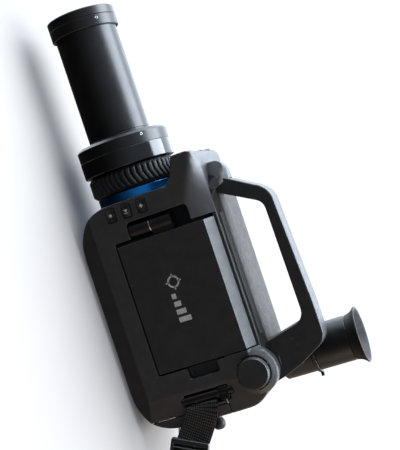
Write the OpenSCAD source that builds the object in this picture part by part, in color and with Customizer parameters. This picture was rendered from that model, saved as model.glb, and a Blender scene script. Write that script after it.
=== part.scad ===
// Handheld thermal imaging camera with a long telephoto lens.
// X runs to the camera's left side, Y to its rear, Z up. The lens looks along -Y.
// The origin is the mouth of the tripod socket, in the flat base.

/* [Body] */
// Width across the two sides
body_w = 92; // [91:1:94]
// Height of the flat top above the base
body_top = 113; // [112:0.5:114]
// Thickness of the moulded walls
wall = 3; // [2.6:0.2:3.2]

/* [Lens] */
// Height of the lens axis above the base
lens_z = 48; // [47:0.5:49]
// Distance from the tripod socket to the front end of the lens
lens_reach = 242; // [238:1:250]
// Outside radius of the long tube
tube_r = 25.25; // [24.5:0.25:25.75]
// Outside radius of the front ring
front_ring_r = 27.75; // [27:0.25:29]
// Outside radius of the stepped adapter
adapter_r = 37.5; // [36:0.5:38.5]
// Outside radius of the coloured ring behind the focus ring
blue_r = 33; // [32.5:0.5:34]

/* [Display] */
// Rear edge of the display panel
panel_rear = 50; // [46:1:50]
// Lower edge of the display panel
panel_low = 31; // [30:1:34]

/* [Viewfinder] */
// Outside radius of the viewfinder barrel
vf_r = 18.3; // [17.8:0.1:18.4]
// Height of the mouth of the eyecup
vf_top = 181.3; // [178:0.5:184]
// Outside radius of the eyecup's mouth
eyecup_r = 22.9; // [22:0.1:23.5]

/* [Handle] */
// Width of the handle bar
handle_w = 22; // [20:1:28]
// Height of the top of the handle bar at its rear
handle_top = 161; // [159:1:163]

/* [Buttons] */
// Height of each button's face
button_h = 7; // [6.4:0.2:7.4]
// Length of each button's face along the body
button_l = 10; // [9:0.5:10.5]

/* [Strap] */
// Width of the webbing
strap_w = 25; // [24:1:25]
// Thickness of the webbing
strap_t = 1.6; // [1.4:0.1:1.6]

/* [Hidden] */
$fn = 64;

half_w = body_w / 2;
seam_x = 36;
front_y = -87;
rear_y = 94;
shoulder_y = -107.5;
bevel_y = 67.3;
bevel_x = 4.2;
shoulder_chamfer_y = -60;
fit = 0.06;
gap = 0.4;
press = 0.02;
side_screw_y = [-70, 78];
side_screw_z = [24, 96];

pivot_y = 68.4;
pivot_z = 103.7;
pivot_r = 4;
vf_x = -19;
vf_y = 72.4;
vf_foot = 113;
vf_ring_z = 141;
vf_mouth_z = vf_top - 9.3;
vf_wall = 3.4;
vf_lens_r = vf_r - vf_wall - 0.02;
notch_x = [-39, 1];
notch_r = 26;
boss_r = 18;
boss_x = 32;

hinge_x = 40;
hinge_y = -62.7;
hinge_r = 6;
hinge_pin_r = 2;
panel_front = -54;
panel_inner = 33;
recess_floor = 32.5;
pocket_back = 30;
panel_gap = 3;
knuckle_gap_z = [61, 62.3];

plate_y = [-50, 56];
door_y = 85.3;
door_z = [7.8, 76];
door_hinge_x = 3.2 - half_w;
door_hinge_y = 88.5;
door_knuckle_r = 3.2;
door_pin_r = 1.3;
door_pin_z = [14, 68];
latch_x = 30;
latch_z = 60;
latch_stem_r = 2.2;

tube_front = 16 - lens_reach;
tube_bore_r = 22;
tube_foot_y = -135;
adapter_joint_y = -126;
barrel_r = 30;
barrel_front_y = -120;
barrel_bore_r = 26;
screw_angle = 43;
set_screw_r = 0.85;

window_z = 104;
camera_x = -24;
camera_r = 5.5;
lamp_x = -6;
lamp_r = 4;

button_y = -79;
button_z = [61, 48, 35];

bar_x = 43;
bar_y = 75.5;
bar_r = 3.25;
bar_screw_z = 77;
loop_pin = [40.8, 80.5];
loop_pin_r = 0.8;
lug_y = -70;
lug_z = 62;
bundle_x = -69;
bundle_r = 4.6;
slider_place = [49.25, 107.8, 39.2];
handle_x = 31 - handle_w;
handle_mid = handle_x + handle_w / 2;
handle_screw_y = [-8, 20];
collar_lip = 2.5;

function arc(c, r, from, to, steps = 8) = [
    for (i = [0 : steps])
        let (a = from + (to - from) * i / steps)
        [c[0] + r * cos(a), c[1] + r * sin(a)]
];

// Outline of the body seen from its side, as [y, z], drawn in by i
function side_outline(i) = concat(
    arc([front_y + 34, 34], 34 - i, 180, 270, 10),
    arc([rear_y - 35, 35], 35 - i, 270, 360, 10),
    arc([rear_y - 22, body_top - 22], 22 - i, 0, 90),
    arc([-101.5, body_top - 6], 6 - i, 90, 180, 4),
    [
        [shoulder_y + i, 95 + i],
        [-92 + i, 89 + i],
        [front_y + i, 84 + i]
    ]
);

// Outline of the body seen from its end, as [x, z], drawn in by i
function end_outline(i) = [
    [-36 + i * 0.6, i],
    [36 - i * 0.6, i],
    [half_w - i, 15.7 + i * 0.6],
    [half_w - i, body_top - 9 - i * 0.4],
    [36 - i * 0.4, body_top - i],
    [-36 + i * 0.4, body_top - i],
    [-half_w + i, body_top - 9 - i * 0.4],
    [-half_w + i, 15.7 + i * 0.6]
];

module block(low, high) {
    translate(low) cube(high - low);
}

module rod_x(from, to, y, z, r) {
    translate([from, y, z]) rotate([0, 90, 0]) cylinder(h = to - from, r = r);
}

module rod_y(from, to, x, z, r) {
    translate([x, from, z]) rotate([-90, 0, 0]) cylinder(h = to - from, r = r);
}

module rod_z(from, to, x, y, r) {
    translate([x, y, from]) cylinder(h = to - from, r = r);
}

// Extrudes a [y, z] outline along X
module slab_x(from, to, outline) {
    translate([from, 0, 0]) rotate([90, 0, 90]) linear_extrude(to - from) polygon(outline);
}

// Extrudes an [x, z] outline along Y
module slab_y(from, to, outline) {
    translate([0, to, 0]) rotate([90, 0, 0]) linear_extrude(to - from) polygon(outline);
}

// Turns a [radius, y] profile about the lens axis
module turned(profile) {
    translate([0, 0, lens_z]) rotate([-90, 0, 0]) rotate_extrude() polygon(profile);
}

// Turns a [radius, z] profile about the viewfinder's axis
module turned_vf(profile) {
    translate([vf_x, vf_y, 0]) rotate_extrude() polygon(profile);
}

// Box with rounded edges along X
module pad_x(from, to, y, z, length, height, r) {
    translate([from, y, z]) rotate([90, 0, 90]) linear_extrude(to - from)
        polygon(concat(
            arc([length / 2 - r, height / 2 - r], r, 0, 90, 4),
            arc([r - length / 2, height / 2 - r], r, 90, 180, 4),
            arc([r - length / 2, r - height / 2], r, 180, 270, 4),
            arc([length / 2 - r, r - height / 2], r, 270, 360, 4)
        ));
}

// Outline of the body seen from above, as [x, y]: the left side falls away to the rear
function plan_outline(i) = [
    [-60, -120], [60, -120], [60, 40], [half_w - i, bevel_y], [half_w - bevel_x - i, rear_y],
    [half_w - bevel_x - i, 120], [-60, 120]
];

module body_form(i, from, to) {
    difference() {
        intersection() {
            slab_x(from, to, side_outline(i));
            slab_y(-120, 100, end_outline(i));
            translate([0, 0, -1]) linear_extrude(140) polygon(plan_outline(i));
        }
        // wider chamfer along the left side of the forward shoulder
        slab_y(-120, shoulder_chamfer_y - i, [
            [half_w + 0.1 - i, 97 - i], [36, body_top - i], [60, body_top + 10], [60, 97 - i]
        ]);
    }
}

// Room that the viewfinder sweeps as it tilts, grown by g
module notch_form(g) {
    rod_x(notch_x[0] - g, notch_x[1] + g, pivot_y, pivot_z, 19 + g);
    intersection() {
        rod_x(notch_x[0] - g, notch_x[1] + g, pivot_y, pivot_z, notch_r + g);
        block([-60, 70, 60], [60, 110, 140]);
    }
    block([notch_x[0] - g, pivot_y + 12, pivot_z - notch_r - g], [notch_x[1] + g, 110, 130]);
}

// Block that carries the left end of the viewfinder's shaft, grown by g
module boss_form(g) {
    rod_x(boss_x - g, half_w, pivot_y, pivot_z, boss_r + g);
    block([boss_x - g, pivot_y - boss_r - g, 88 - g], [half_w, pivot_y + boss_r + g, pivot_z]);
}

module door_form(g, left) {
    intersection() {
        body_form(0, -60, 60);
        block([left, door_y - g, door_z[0] - g], [60, 110, door_z[1] + g]);
    }
}

module housing_main() {
    color("#2b2d31")
    difference() {
        union() {
            difference() {
                body_form(0, -half_w, seam_x);
                body_form(wall, wall - half_w, seam_x + 1);
            }
            intersection() {
                body_form(0, -half_w, seam_x);
                union() {
                    notch_form(wall);
                    block([-half_w, 48, 74], [notch_x[0], rear_y, body_top]);
                    block([-half_w, door_y - gap - wall, 0], [seam_x, door_y, body_top - 20]);
                    block([-38, plate_y[0] - 6, 1], [35.9, plate_y[1] + 6, wall + 3]);
                }
            }
            door_knuckles();
        }
        notch_form(0);
        boss_form(0.15);
        door_form(gap, door_hinge_x - door_knuckle_r - gap);
        difference() {
            rod_z(door_z[0] - gap, door_z[1] + gap, door_hinge_x, door_hinge_y, door_knuckle_r + gap);
            door_knuckles();
        }
        rod_z(0, door_pin_z[1], door_hinge_x, door_hinge_y, door_pin_r + fit);
        // battery opening, lens window and the opening for the base plate
        block([-32, 78, 9], [24, 90, 72]);
        block([-38.2, -95, 14], [33.2, front_y + wall + 0.02, 82]);
        rod_y(-95, -79, 0, lens_z, barrel_r + press);
        rod_y(front_y + wall, -79, 0, lens_z, barrel_r + 1 + press);
        block([-34.2, plate_y[0] - 0.2, -1], [34.2, plate_y[1] + 0.2, wall]);
        block([-26, plate_y[0] + 9, -1], [26, plate_y[1] - 9, wall + 4]);
        rod_x(notch_x[0] - 4, 40, pivot_y, pivot_z, pivot_r + fit);
        rod_y(-120, -98, camera_x, window_z, camera_r);
        rod_y(-120, -98, lamp_x, window_z, lamp_r);
        screw_holes();
    }
}

module door_knuckles() {
    for (low = [14, 54])
        rod_z(low, low + 14, door_hinge_x, door_hinge_y, door_knuckle_r);
    for (low = [14, 54])
        block([-half_w, door_y - 3, low], [door_hinge_x, door_hinge_y, low + 14]);
}

module left_cover() {
    color("#2f3136")
    difference() {
        union() {
            difference() {
                body_form(0, seam_x + 0.05, half_w);
                body_form(wall, seam_x - 1, half_w - wall);
            }
            intersection() {
                body_form(0, seam_x + 0.05, half_w);
                union() {
                    block([30, panel_front - panel_gap - wall, 20], [60, panel_rear + 12, 120]);
                    block([30, -73, 41], [60, -50, 97.6]);
                    block([30, 62, 41], [60, 85, 86]);
                    block([30, door_y - gap - wall, 0], [60, door_y, 92]);
                }
            }
            block([pocket_back, -71, 29], [seam_x + 0.1, panel_rear + 6, 106]);
        }
        // place for the closed display, its hinge and the finger that opens it
        block([recess_floor, panel_front - panel_gap, panel_low - 0.6], [60, panel_rear + 1, 130]);
        pad_x(recess_floor, 60, -62, 69.3, 16, 50.6, 3.2);
        pad_x(38, 60, panel_rear + 4, 66.5, 11.5, 25, 2.5);
        block([38.5, 70.5, 44], [60, 82.5, 80]);
        rod_z(41, 83, bar_x, bar_y, bar_r + press);
        boss_form(0.15);
        door_form(gap, -60);
        for (z = button_z)
            pad_x(30, 60, button_y, z, button_l + 0.8, button_h + 0.8, 1.6);
    }
}

module front_bezel() {
    color("#26282c")
    difference() {
        intersection() {
            body_form(0, -38, 33);
            block([-38, front_y, 14.2], [33, front_y + wall, 81.8]);
        }
        rod_y(-90, -80, 0, lens_z, barrel_r + press);
    }
}

module screw_places() {
    for (x = [-30.2, 30.2], y = [plate_y[0] + 4, plate_y[1] - 4]) translate([x, y, 0]) children();
}

module screw_holes() {
    screw_places() cylinder(h = 8, r = 1.52);
    for (y = side_screw_y, z = side_screw_z)
        rod_x(-half_w - 1, 1.9 - half_w, y, z, 2.62);
}

module base_plate() {
    color("#3a3c40")
    difference() {
        block([-34, plate_y[0], 0], [34, plate_y[1], wall - 0.02]);
        rod_z(-1, 8, 0, 0, 8.02);
        screw_places() translate([0, 0, -1]) cylinder(h = 2.8, r = 3.2);
        screw_places() translate([0, 0, -1]) cylinder(h = 8, r = 1.7);
    }
}

// Quarter-inch tripod thread in a steel insert
module tripod_socket() {
    color("#b9b9bd")
    difference() {
        union() {
            rod_z(0, 11, 0, 0, 8);
            rod_z(wall, 13, 0, 0, 10);
        }
        rod_z(-1, 10.5, 0, 0, 2.6);
    }
}

// Rounded ridge along the top, with a shallow label seat on its left flank
module top_spine() {
    color("#303237")
    difference() {
        slab_y(-68, 49.5, concat(
            [[-30, body_top + 0.02]],
            arc([-26, body_top - 2.5], 7, 140, 92, 4),
            arc([26, body_top - 2.5], 7, 88, 30, 5),
            [[33.5, body_top + 0.02]]
        ));
        translate([30.6, 0, body_top + 2.9]) rotate([0, 38, 0])
            block([-2.6, -56, -0.5], [2.6, 44, 2]);
        handle_form(0.02);
    }
}

module pivot_boss() {
    color("#2f3136")
    difference() {
        boss_form(0);
        rod_x(30, 60, pivot_y, pivot_z, pivot_r + fit);
    }
}

module blue_ring() {
    color("#2f7fb8")
    turned([
        [barrel_r + press, -95], [blue_r - 0.8, -95], [blue_r, -94.2],
        [blue_r, -87.8], [blue_r - 0.4, front_y], [barrel_r + press, front_y]
    ]);
}

module lens_barrel() {
    color("#1c1d20")
    turned([
        [barrel_bore_r, barrel_front_y], [barrel_r, barrel_front_y],
        [barrel_r, front_y + wall + 0.04], [barrel_r + 1, front_y + wall + 0.04],
        [barrel_r + 1, -80], [barrel_bore_r, -80]
    ]);
}

module focus_ring() {
    color("#1a1b1d") {
        turned([
            [barrel_r + fit, -111.7], [34, -111.7], [34.8, -110.9],
            [34.8, -96.1], [34, -95.3], [barrel_r + fit, -95.3]
        ]);
        translate([0, 0, lens_z])
            for (a = [0 : 10 : 350])
                rotate([0, a, 0]) block([-1.2, -110.2, 34.2], [1.2, -96.8, 35.7]);
    }
}

module lens_adapter_rear() {
    color("#17181a")
    turned([
        [barrel_bore_r, adapter_joint_y], [adapter_r - 1.2, adapter_joint_y],
        [adapter_r, adapter_joint_y + 1], [adapter_r, -116.4],
        [adapter_r - 1.4, -115], [34, -115], [34, -112], [barrel_r + press, -112],
        [barrel_r + press, barrel_front_y - 0.02], [barrel_bore_r, barrel_front_y - 0.02]
    ]);
}

module lens_adapter_front() {
    color("#17181a")
    difference() {
        turned([
            [tube_bore_r, tube_foot_y], [tube_r + press, tube_foot_y],
            [tube_r + press, tube_foot_y - 3], [30, tube_foot_y - 3],
            [adapter_r - 3, tube_foot_y - 2.2], [adapter_r, tube_foot_y],
            [adapter_r, adapter_joint_y - 1.4], [adapter_r - 1.2, adapter_joint_y - 0.02],
            [tube_bore_r, adapter_joint_y - 0.02]
        ]);
        set_screw(tube_foot_y + 2.3, adapter_r, set_screw_r + 0.05, -1);
    }
}

module lens_tube() {
    color("#141517")
    turned([
        [tube_bore_r, tube_front - 4], [tube_r - 1.6, tube_front - 4],
        [tube_r - 1.6, tube_front], [tube_r, tube_front],
        [tube_r, tube_foot_y - 0.02], [tube_bore_r, tube_foot_y - 0.02]
    ]);
}

module lens_front_ring() {
    color("#18191b")
    difference() {
        turned([
            [tube_r - 1.55, tube_front - 0.02], [front_ring_r - 0.5, tube_front - 0.02],
            [front_ring_r, tube_front - 0.6], [front_ring_r, tube_front - 7.8],
            [front_ring_r - 0.7, tube_front - 8.2], [front_ring_r - 0.7, tube_front - 9],
            [front_ring_r, tube_front - 9.4], [front_ring_r, -lens_reach + 0.8],
            [front_ring_r - 0.8, -lens_reach], [front_ring_r - 1.8, -lens_reach],
            [tube_r - 1.95, tube_front - 12], [tube_r - 1.95, tube_front - 4.02],
            [tube_r - 1.55, tube_front - 4.02]
        ]);
        set_screw(tube_front - 5.8, front_ring_r, set_screw_r + 0.05, -1);
    }
}

// Convex lens with its front vertex at y
module element(y, r, thick, bulge) {
    turned(concat(
        [[0, y + thick], [r, y + thick], [r, y + bulge]],
        [for (i = [5 : -1 : 0]) [r * i / 6, y + bulge * pow(i / 6, 2)]]
    ));
}

module front_element() {
    color("#5a4a55") element(tube_front - 10, tube_r - 2, 5.9, 3);
}

module rear_element() {
    color("#5a4a55") element(-96, 25.9, 6, 2.5);
}

// Radial cylinder that ends drop below the radius r
module set_screw(y, r, size, drop) {
    translate([0, y, lens_z]) rotate([0, 90 - screw_angle, 0])
        translate([0, 0, r - 1.2]) cylinder(h = 1.2 - drop, r = size);
}

module lens_set_screws() {
    color("#8c8e92") {
        set_screw(tube_front - 5.8, front_ring_r, set_screw_r, 0.15);
        set_screw(tube_foot_y + 2.3, adapter_r, set_screw_r, 0.15);
    }
}

module detector_dewar() {
    color("#a9abb0") {
        rod_y(-80, -56, 0, lens_z, 21);
        rod_y(-56, -38, 0, lens_z, 14);
    }
}

module cryocooler() {
    color("#8b8e94")
    difference() {
        union() {
            rod_x(-27, 20, -23, lens_z, 15);
            block([-18, -32, wall + 3], [14, -14, 40]);
        }
        rod_y(-60, -37.98, 0, lens_z, 14);
    }
}

module main_board() {
    color("#1f5a3a") {
        block([24, -58, wall + 3], [25.6, 24, 94]);
        for (y = [-44, -18, 8])
            block([21.6, y, 66], [24, y + 14, 80]);
    }
}

module power_board() {
    color("#1f5a3a") {
        block([-35.8, -50, wall + 3.05], [-34.2, 22, 88]);
        for (z = [20, 44, 66])
            block([-34.2, -30, z], [-28, -16, z + 12]);
    }
}

module battery_pack() {
    color("#3c4a66") block([-30, 30, 9.5], [22, 80, 71]);
}

module battery_contacts() {
    color("#c9a24a")
    for (x = [-20, -10, 0, 10])
        block([x, 28, 22], [x + 4, 30, 44]);
}

module visual_camera() {
    color("#101114") rod_y(0.1 + shoulder_y, -98, camera_x, window_z, camera_r - press);
}

module target_lamp() {
    color("#c8c8c0") rod_y(0.1 + shoulder_y, -98, lamp_x, window_z, lamp_r - press);
}

// Outline of the carrying handle, as [y, z]
function handle_outline() = concat(
    [[-86, body_top + 0.02], [-77, 129.5]],
    arc([-50, 139], 18.5, 158, 103, 6),
    [[-20, 158.6], [33, handle_top]],
    arc([54, handle_top - 13], 13, 90, 18, 6),
    [[74, 138.5], [80, 123], [82.5, body_top + 0.02], [51, body_top + 0.02]],
    [[49.5, 121], [45, 139]],
    arc([34, 139.5], 10.5, 10, 90, 5),
    [[-47, 149]],
    arc([-47, 140], 9, 95, 155, 4),
    [[-66, 124], [-72, body_top + 0.02]]
);

module handle_form(g) {
    translate([handle_x - g, 0, 0])
        rotate([90, 0, 90]) linear_extrude(handle_w + 2 * g) polygon(handle_outline());
}

// Collar on the top that the handle's front leg drops into
module handle_front_boss() {
    color("#2b2d31")
    difference() {
        slab_x(handle_x - collar_lip, handle_x + handle_w + collar_lip, concat(
            [[-95, body_top + 0.02]],
            arc([-83, 117], 11.8, 165, 80, 7),
            [[-77.4, 128.7], [-75.4, 122.5], [-72.8, 117], [-69, body_top + 0.02]]
        ));
        handle_form(0.02);
    }
}

module handle() {
    color("#2a2c2f")
    difference() {
        handle_form(0);
        for (y = handle_screw_y)
            rod_z(148, 151.6, handle_mid, y, 2.6);
    }
}

module handle_screws() {
    color("#5c5e62")
    for (y = handle_screw_y)
        difference() {
            rod_z(150.2, 151.5, handle_mid, y, 2.55);
            rod_z(149, 150.9, handle_mid, y, 1.1);
        }
}

module vf_shaft() {
    color("#9a9ca0") rod_x(notch_x[0] - 3.5, half_w + 1.5, pivot_y, pivot_z, pivot_r);
}

module vf_pivot_cap() {
    color("#242629")
    translate([half_w + gap, pivot_y, pivot_z]) rotate([0, 90, 0]) difference() {
        rotate_extrude() polygon([
            [0, 0], [12, 0], [12, 3.4], [11, 4.8], [8.4, 5], [8.2, 4.6], [0, 4.6]
        ]);
        translate([0, 0, -1]) cylinder(h = 2.1, r = pivot_r + 0.01);
    }
}

module vf_hub() {
    color("#242629")
    difference() {
        union() {
            rod_x(notch_x[0] + 1.5, notch_x[1] - 1.5, pivot_y, pivot_z, 9.2);
            rod_z(pivot_z, vf_foot - 0.02, vf_x, vf_y, 14);
        }
        rod_x(-60, 60, pivot_y, pivot_z, pivot_r + 0.01);
    }
}

module vf_barrel_lower() {
    color("#1e2023")
    turned_vf([
        [0, vf_foot], [vf_r - 1.2, vf_foot], [vf_r, vf_foot + 1.2], [vf_r, vf_ring_z - 1.6],
        [vf_r - 0.9, vf_ring_z - 1.6], [vf_r - 0.9, vf_ring_z + 1.6],
        [vf_r - vf_wall, vf_ring_z + 1.6], [vf_r - vf_wall, vf_foot + 4], [0, vf_foot + 4]
    ]);
}

module vf_barrel_upper() {
    color("#1e2023")
    turned_vf([
        [vf_r - vf_wall, vf_ring_z + 1.62], [vf_r, vf_ring_z + 1.62], [vf_r, vf_mouth_z - 0.5],
        [vf_r - 0.5, vf_mouth_z], [vf_r - vf_wall, vf_mouth_z]
    ]);
}

module vf_eye_lens() {
    color("#7c8796")
    turned_vf(concat(
        [[0, vf_mouth_z - 8], [vf_lens_r, vf_mouth_z - 8], [vf_lens_r, vf_mouth_z - 4.5]],
        [for (i = [5 : -1 : 0])
            [vf_lens_r * i / 6, vf_mouth_z - 2.5 - 2 * pow(i / 6, 2)]]
    ));
}

module vf_microdisplay() {
    color("#20242c")
    translate([vf_x, vf_y, vf_foot + 4])
        block([-8, -6, 0], [8, 6, 3]);
}

module eyecup() {
    color("#191919")
    turned_vf([
        [vf_r - 3.8, vf_mouth_z + 0.02], [vf_r, vf_mouth_z + 0.02], [vf_r + 0.4, vf_mouth_z + 1.5],
        [vf_r + 1.6, vf_mouth_z + 4.6], [eyecup_r, vf_top - 1.2], [eyecup_r - 0.5, vf_top],
        [eyecup_r - 2, vf_top], [vf_r - 1.4, vf_mouth_z + 4.6], [vf_r - 3.8, vf_mouth_z + 2]
    ]);
}

module diopter_ring() {
    color("#2a2c30") {
        turned_vf([
            [vf_r - 0.9 + fit, vf_ring_z - 1.3], [vf_r + 1.2, vf_ring_z - 1.3],
            [vf_r + 1.5, vf_ring_z - 1], [vf_r + 1.5, vf_ring_z + 1],
            [vf_r + 1.2, vf_ring_z + 1.3], [vf_r - 0.9 + fit, vf_ring_z + 1.3]
        ]);
        translate([vf_x, vf_y, vf_ring_z])
            block([-2.2, vf_r + 0.2, -1.3], [2.2, vf_r + 5, 1.3]);
    }
}

module hinge_base() {
    color("#2c2e32")
    difference() {
        union() {
            pad_x(recess_floor + 0.02, recess_floor + 1.3, -62.6, 69.3, 13.6, 49.6, 3);
            rod_z(45, knuckle_gap_z[0], hinge_x, hinge_y, hinge_r);
            block(
                [recess_floor + 1, hinge_y - hinge_r, 45],
                [hinge_x, hinge_y + 1, knuckle_gap_z[0]]
            );
        }
        rod_z(46, 62, hinge_x, hinge_y, hinge_pin_r + press);
    }
}

module hinge_pin() {
    color("#b4b6ba") rod_z(46, 78, hinge_x, hinge_y, hinge_pin_r);
}

module hinge_washer() {
    color("#d2d4d8")
    difference() {
        rod_z(knuckle_gap_z[0] + 0.02, 62, hinge_x, hinge_y, hinge_r - 0.3);
        rod_z(60, 64, hinge_x, hinge_y, hinge_pin_r + press);
    }
}

module display_knuckle() {
    color("#2c2e32")
    difference() {
        union() {
            rod_z(knuckle_gap_z[1], 79.5, hinge_x, hinge_y, hinge_r);
            block(
                [hinge_x - 4.5, hinge_y, knuckle_gap_z[1]],
                [hinge_x + 4.5, panel_front, 79.5]
            );
        }
        rod_z(60, 78.3, hinge_x, hinge_y, hinge_pin_r + fit);
    }
}

// Display panel from its inner face to its outer one, drawn in by i
module panel_form(i, from, to) {
    slab_y(panel_front + i, panel_rear - i, [
        [from, panel_low + i], [to, panel_low + i], [to, body_top - 9 - i * 0.4],
        [37, body_top - 2.5 - i], [from, body_top - 2.5 - i]
    ]);
}

module display_cover() {
    color("#303237")
    difference() {
        panel_form(0, 36.6, half_w);
        panel_form(2.4, 35, half_w - 2.4);
    }
}

module display_bezel() {
    color("#202226")
    difference() {
        union() {
            block([panel_inner, panel_front, panel_low], [36.58, panel_rear, 104]);
            block([36.5, panel_front + 6, panel_low + 8], [40, panel_rear - 6, 98]);
        }
        block([panel_inner - 1, panel_front + 8, panel_low + 7], [35, panel_rear - 8, 98.5]);
    }
}

module display_glass() {
    color("#15181d")
    block([33.4, panel_front + 8.05, panel_low + 7.05], [34.98, panel_rear - 8.05, 98.45]);
}

module button(z) {
    color("#3a3c40") pad_x(41.3, half_w + 0.9, button_y, z, button_l, button_h, 1.4);
}

module button_upper() {
    button(button_z[0]);
}

module button_middle() {
    button(button_z[1]);
}

module button_lower() {
    button(button_z[2]);
}

module button_board() {
    color("#1f5a3a") {
        block([38, button_y - 4.5, 29], [39.4, button_y + 4.5, 67]);
        for (z = button_z)
            rod_x(39.4, 40.3, button_y, z, 2.4);
    }
}

// Bar across the recess, with the thin pin behind it that the webbing is folded round
module strap_bar() {
    color("#232427")
    difference() {
        union() {
            rod_z(41, 83, bar_x, bar_y, bar_r);
            pad_x(40, 46.2, bar_y + 1, bar_screw_z - 1, 10.4, 7.6, 2);
            rod_z(44.02, bar_screw_z, loop_pin[0], loop_pin[1], loop_pin_r);
        }
        rod_x(42, 60, bar_y, bar_screw_z, 2 + press);
    }
}

module strap_bar_screw() {
    color("#c4c6ca")
    difference() {
        rod_x(42, half_w, bar_y, bar_screw_z, 2);
        rod_x(half_w - 1, half_w + 1, bar_y, bar_screw_z, 0.9);
    }
}

module strap_lug() {
    color("#4a4c50") {
        rod_y(lug_y - 16, lug_y + 16, -half_w - 4.5, lug_z, 2.2);
        for (y = [lug_y - 16, lug_y + 13.4])
            block([-half_w - 5.6, y, lug_z - 1.6], [-half_w - 0.02, y + 2.6, lug_z + 1.6]);
        for (y = [lug_y - 18, lug_y + 12])
            block([-half_w - 2, y, lug_z - 4], [-half_w - 0.02, y + 6, lug_z + 10]);
    }
}

// The webbing as points on its middle line, each with the way that its flat face looks
rear_route = [
    [[47.2, 74, 58], [1, 0, 0]],
    [[47.4, 80, 55.8], [1, 0, 0]],
    [[47.8, 88, 51.9], [1, 0, 0]],
    [[48.3, 96, 47.2], [1, 0, 0]],
    [[48.9, 104, 42], [1, 0, 0]],
    [[49.6, 112, 36.2], [1, 0, 0]],
    [[50, 119, 29.6], [0.95, 0, 0.3]],
    [[49.2, 125, 21.8], [0.75, 0.1, 0.65]],
    [[47, 130, 13.6], [0.5, 0.3, 0.8]],
    [[42, 134.5, 6.6], [0.25, 0.25, 0.94]],
    [[34, 137.5, 2.2], [0.1, 0.1, 1]],
    [[23, 139.5, 1], [0, 0, 1]],
    [[8, 140.5, 0.9], [0, 0, 1]],
    [[-8, 140, 0.9], [0, 0, 1]],
    [[-23, 137.5, 0.9], [0, 0, 1]],
    [[-36, 133, 0.9], [0, 0, 1]],
    [[-47, 126, 0.9], [0, 0, 1]],
    [[-56, 117, 0.9], [0, 0, 1]],
    [[-62.5, 107, 0.9], [0, 0, 1]],
    [[-66.5, 97, 0.9], [0, 0, 1]],
    [[-68.5, 88.5, 0.9], [0, 0, 1]],
    [[-69, 82, 0.9], [0, 0, 1]]
];

front_route = [
    [[-69, -52, 8.2], [0, 0, 1]],
    [[-69, -58, 8.6], [-0.1, -0.05, 1]],
    [[-68, -64, 11.5], [-0.35, -0.25, 0.9]],
    [[-65, -68, 18], [-0.75, -0.3, 0.6]],
    [[-60.5, -69.6, 27], [-0.92, -0.1, 0.35]],
    [[-56.5, -70, 38], [-0.97, 0, 0.25]],
    [[-54.4, -70, 49], [-0.99, 0, 0.12]],
    [[-53.6, -70, 60], [-1, 0, 0]]
];

function unit(v) = v / norm(v);

function heading(route, i) =
    unit(route[min(i + 1, len(route) - 1)][0] - route[max(i - 1, 0)][0]);

// The four corners of the webbing's section at point i
function section(route, i) =
    let (along = heading(route, i))
    let (across = unit(cross(route[i][1], along)))
    let (face = cross(along, across))
    [
        for (s = [[-1, -1], [1, -1], [1, 1], [-1, 1]])
            route[i][0] + across * strap_w / 2 * s[0] + face * strap_t / 2 * s[1]
    ];

module ribbon(route) {
    count = len(route);
    points = [for (i = [0 : count - 1]) each section(route, i)];
    sides = [
        for (i = [0 : count - 2], k = [0 : 3])
            let (n = (k + 1) % 4)
            each [
                [4 * i + k, 4 * i + n, 4 * i + 4 + n],
                [4 * i + k, 4 * i + 4 + n, 4 * i + 4 + k]
            ]
    ];
    last = 4 * (count - 1);
    caps = [[3, 2, 1], [3, 1, 0], [last, last + 1, last + 2], [last, last + 2, last + 3]];
    polyhedron(points, [for (f = concat(sides, caps)) [f[2], f[1], f[0]]]);
}

module strap_rear_run() {
    color("#1d1d1f") ribbon(rear_route);
}

module strap_front_run() {
    color("#1d1d1f") ribbon(front_route);
}

module strap_bundle() {
    color("#1d1d1f")
    difference() {
        translate([bundle_x - strap_w / 2, 0, 0]) slab_x(0, strap_w + 0.4, concat(
            arc([-47, bundle_r], bundle_r, 90, 270, 6),
            arc([77.4, bundle_r], bundle_r, 270, 450, 6)
        ));
        block([bundle_x - strap_w, 12, -1], [bundle_x + strap_w, 26, 0.7]);
        block([bundle_x - strap_w, 12, 8.5], [bundle_x + strap_w, 26, 20]);
    }
}

module strap_tie() {
    color("#3a3a3d")
    difference() {
        block([bundle_x - strap_w / 2 - 1, 13, 0], [bundle_x + strap_w / 2 + 1.4, 25, 9.2]);
        block(
            [bundle_x - strap_w / 2 - 0.02, 12, 0.7],
            [bundle_x + strap_w / 2 + 0.42, 26, 8.5]
        );
    }
}

module strap_slider() {
    color("#202023")
    translate(slider_place) rotate([-36, 0, 0]) rotate([0, 0, -4])
    difference() {
        block([-2.4, -6, -15.5], [2.4, 6, 15.5]);
        block([-1.2, -7, -13], [1.2, 7, 13]);
    }
}

module battery_door() {
    color("#2d2f33")
    difference() {
        union() {
            door_form(0, door_hinge_x);
            rod_z(28.4, 53.6, door_hinge_x, door_hinge_y, door_knuckle_r);
        }
        block([-34, door_y - 1, 14], [40, 90.5, 70]);
        rod_z(20, 60, door_hinge_x, door_hinge_y, door_pin_r + fit);
        for (span = [[0, 28.2], [53.8, 80]])
            rod_z(span[0], span[1], door_hinge_x, door_hinge_y, door_knuckle_r + gap);
        rod_y(80, 100, latch_x, latch_z, latch_stem_r + fit);
    }
}

module latch_knob() {
    color("#1b1c1e") {
        rod_y(87, 96, latch_x, latch_z, latch_stem_r);
        turned_latch();
        block([latch_x - 2.5, 86, latch_z - 5], [latch_x + 9, 88.2, latch_z + 2.5]);
    }
}

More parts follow.
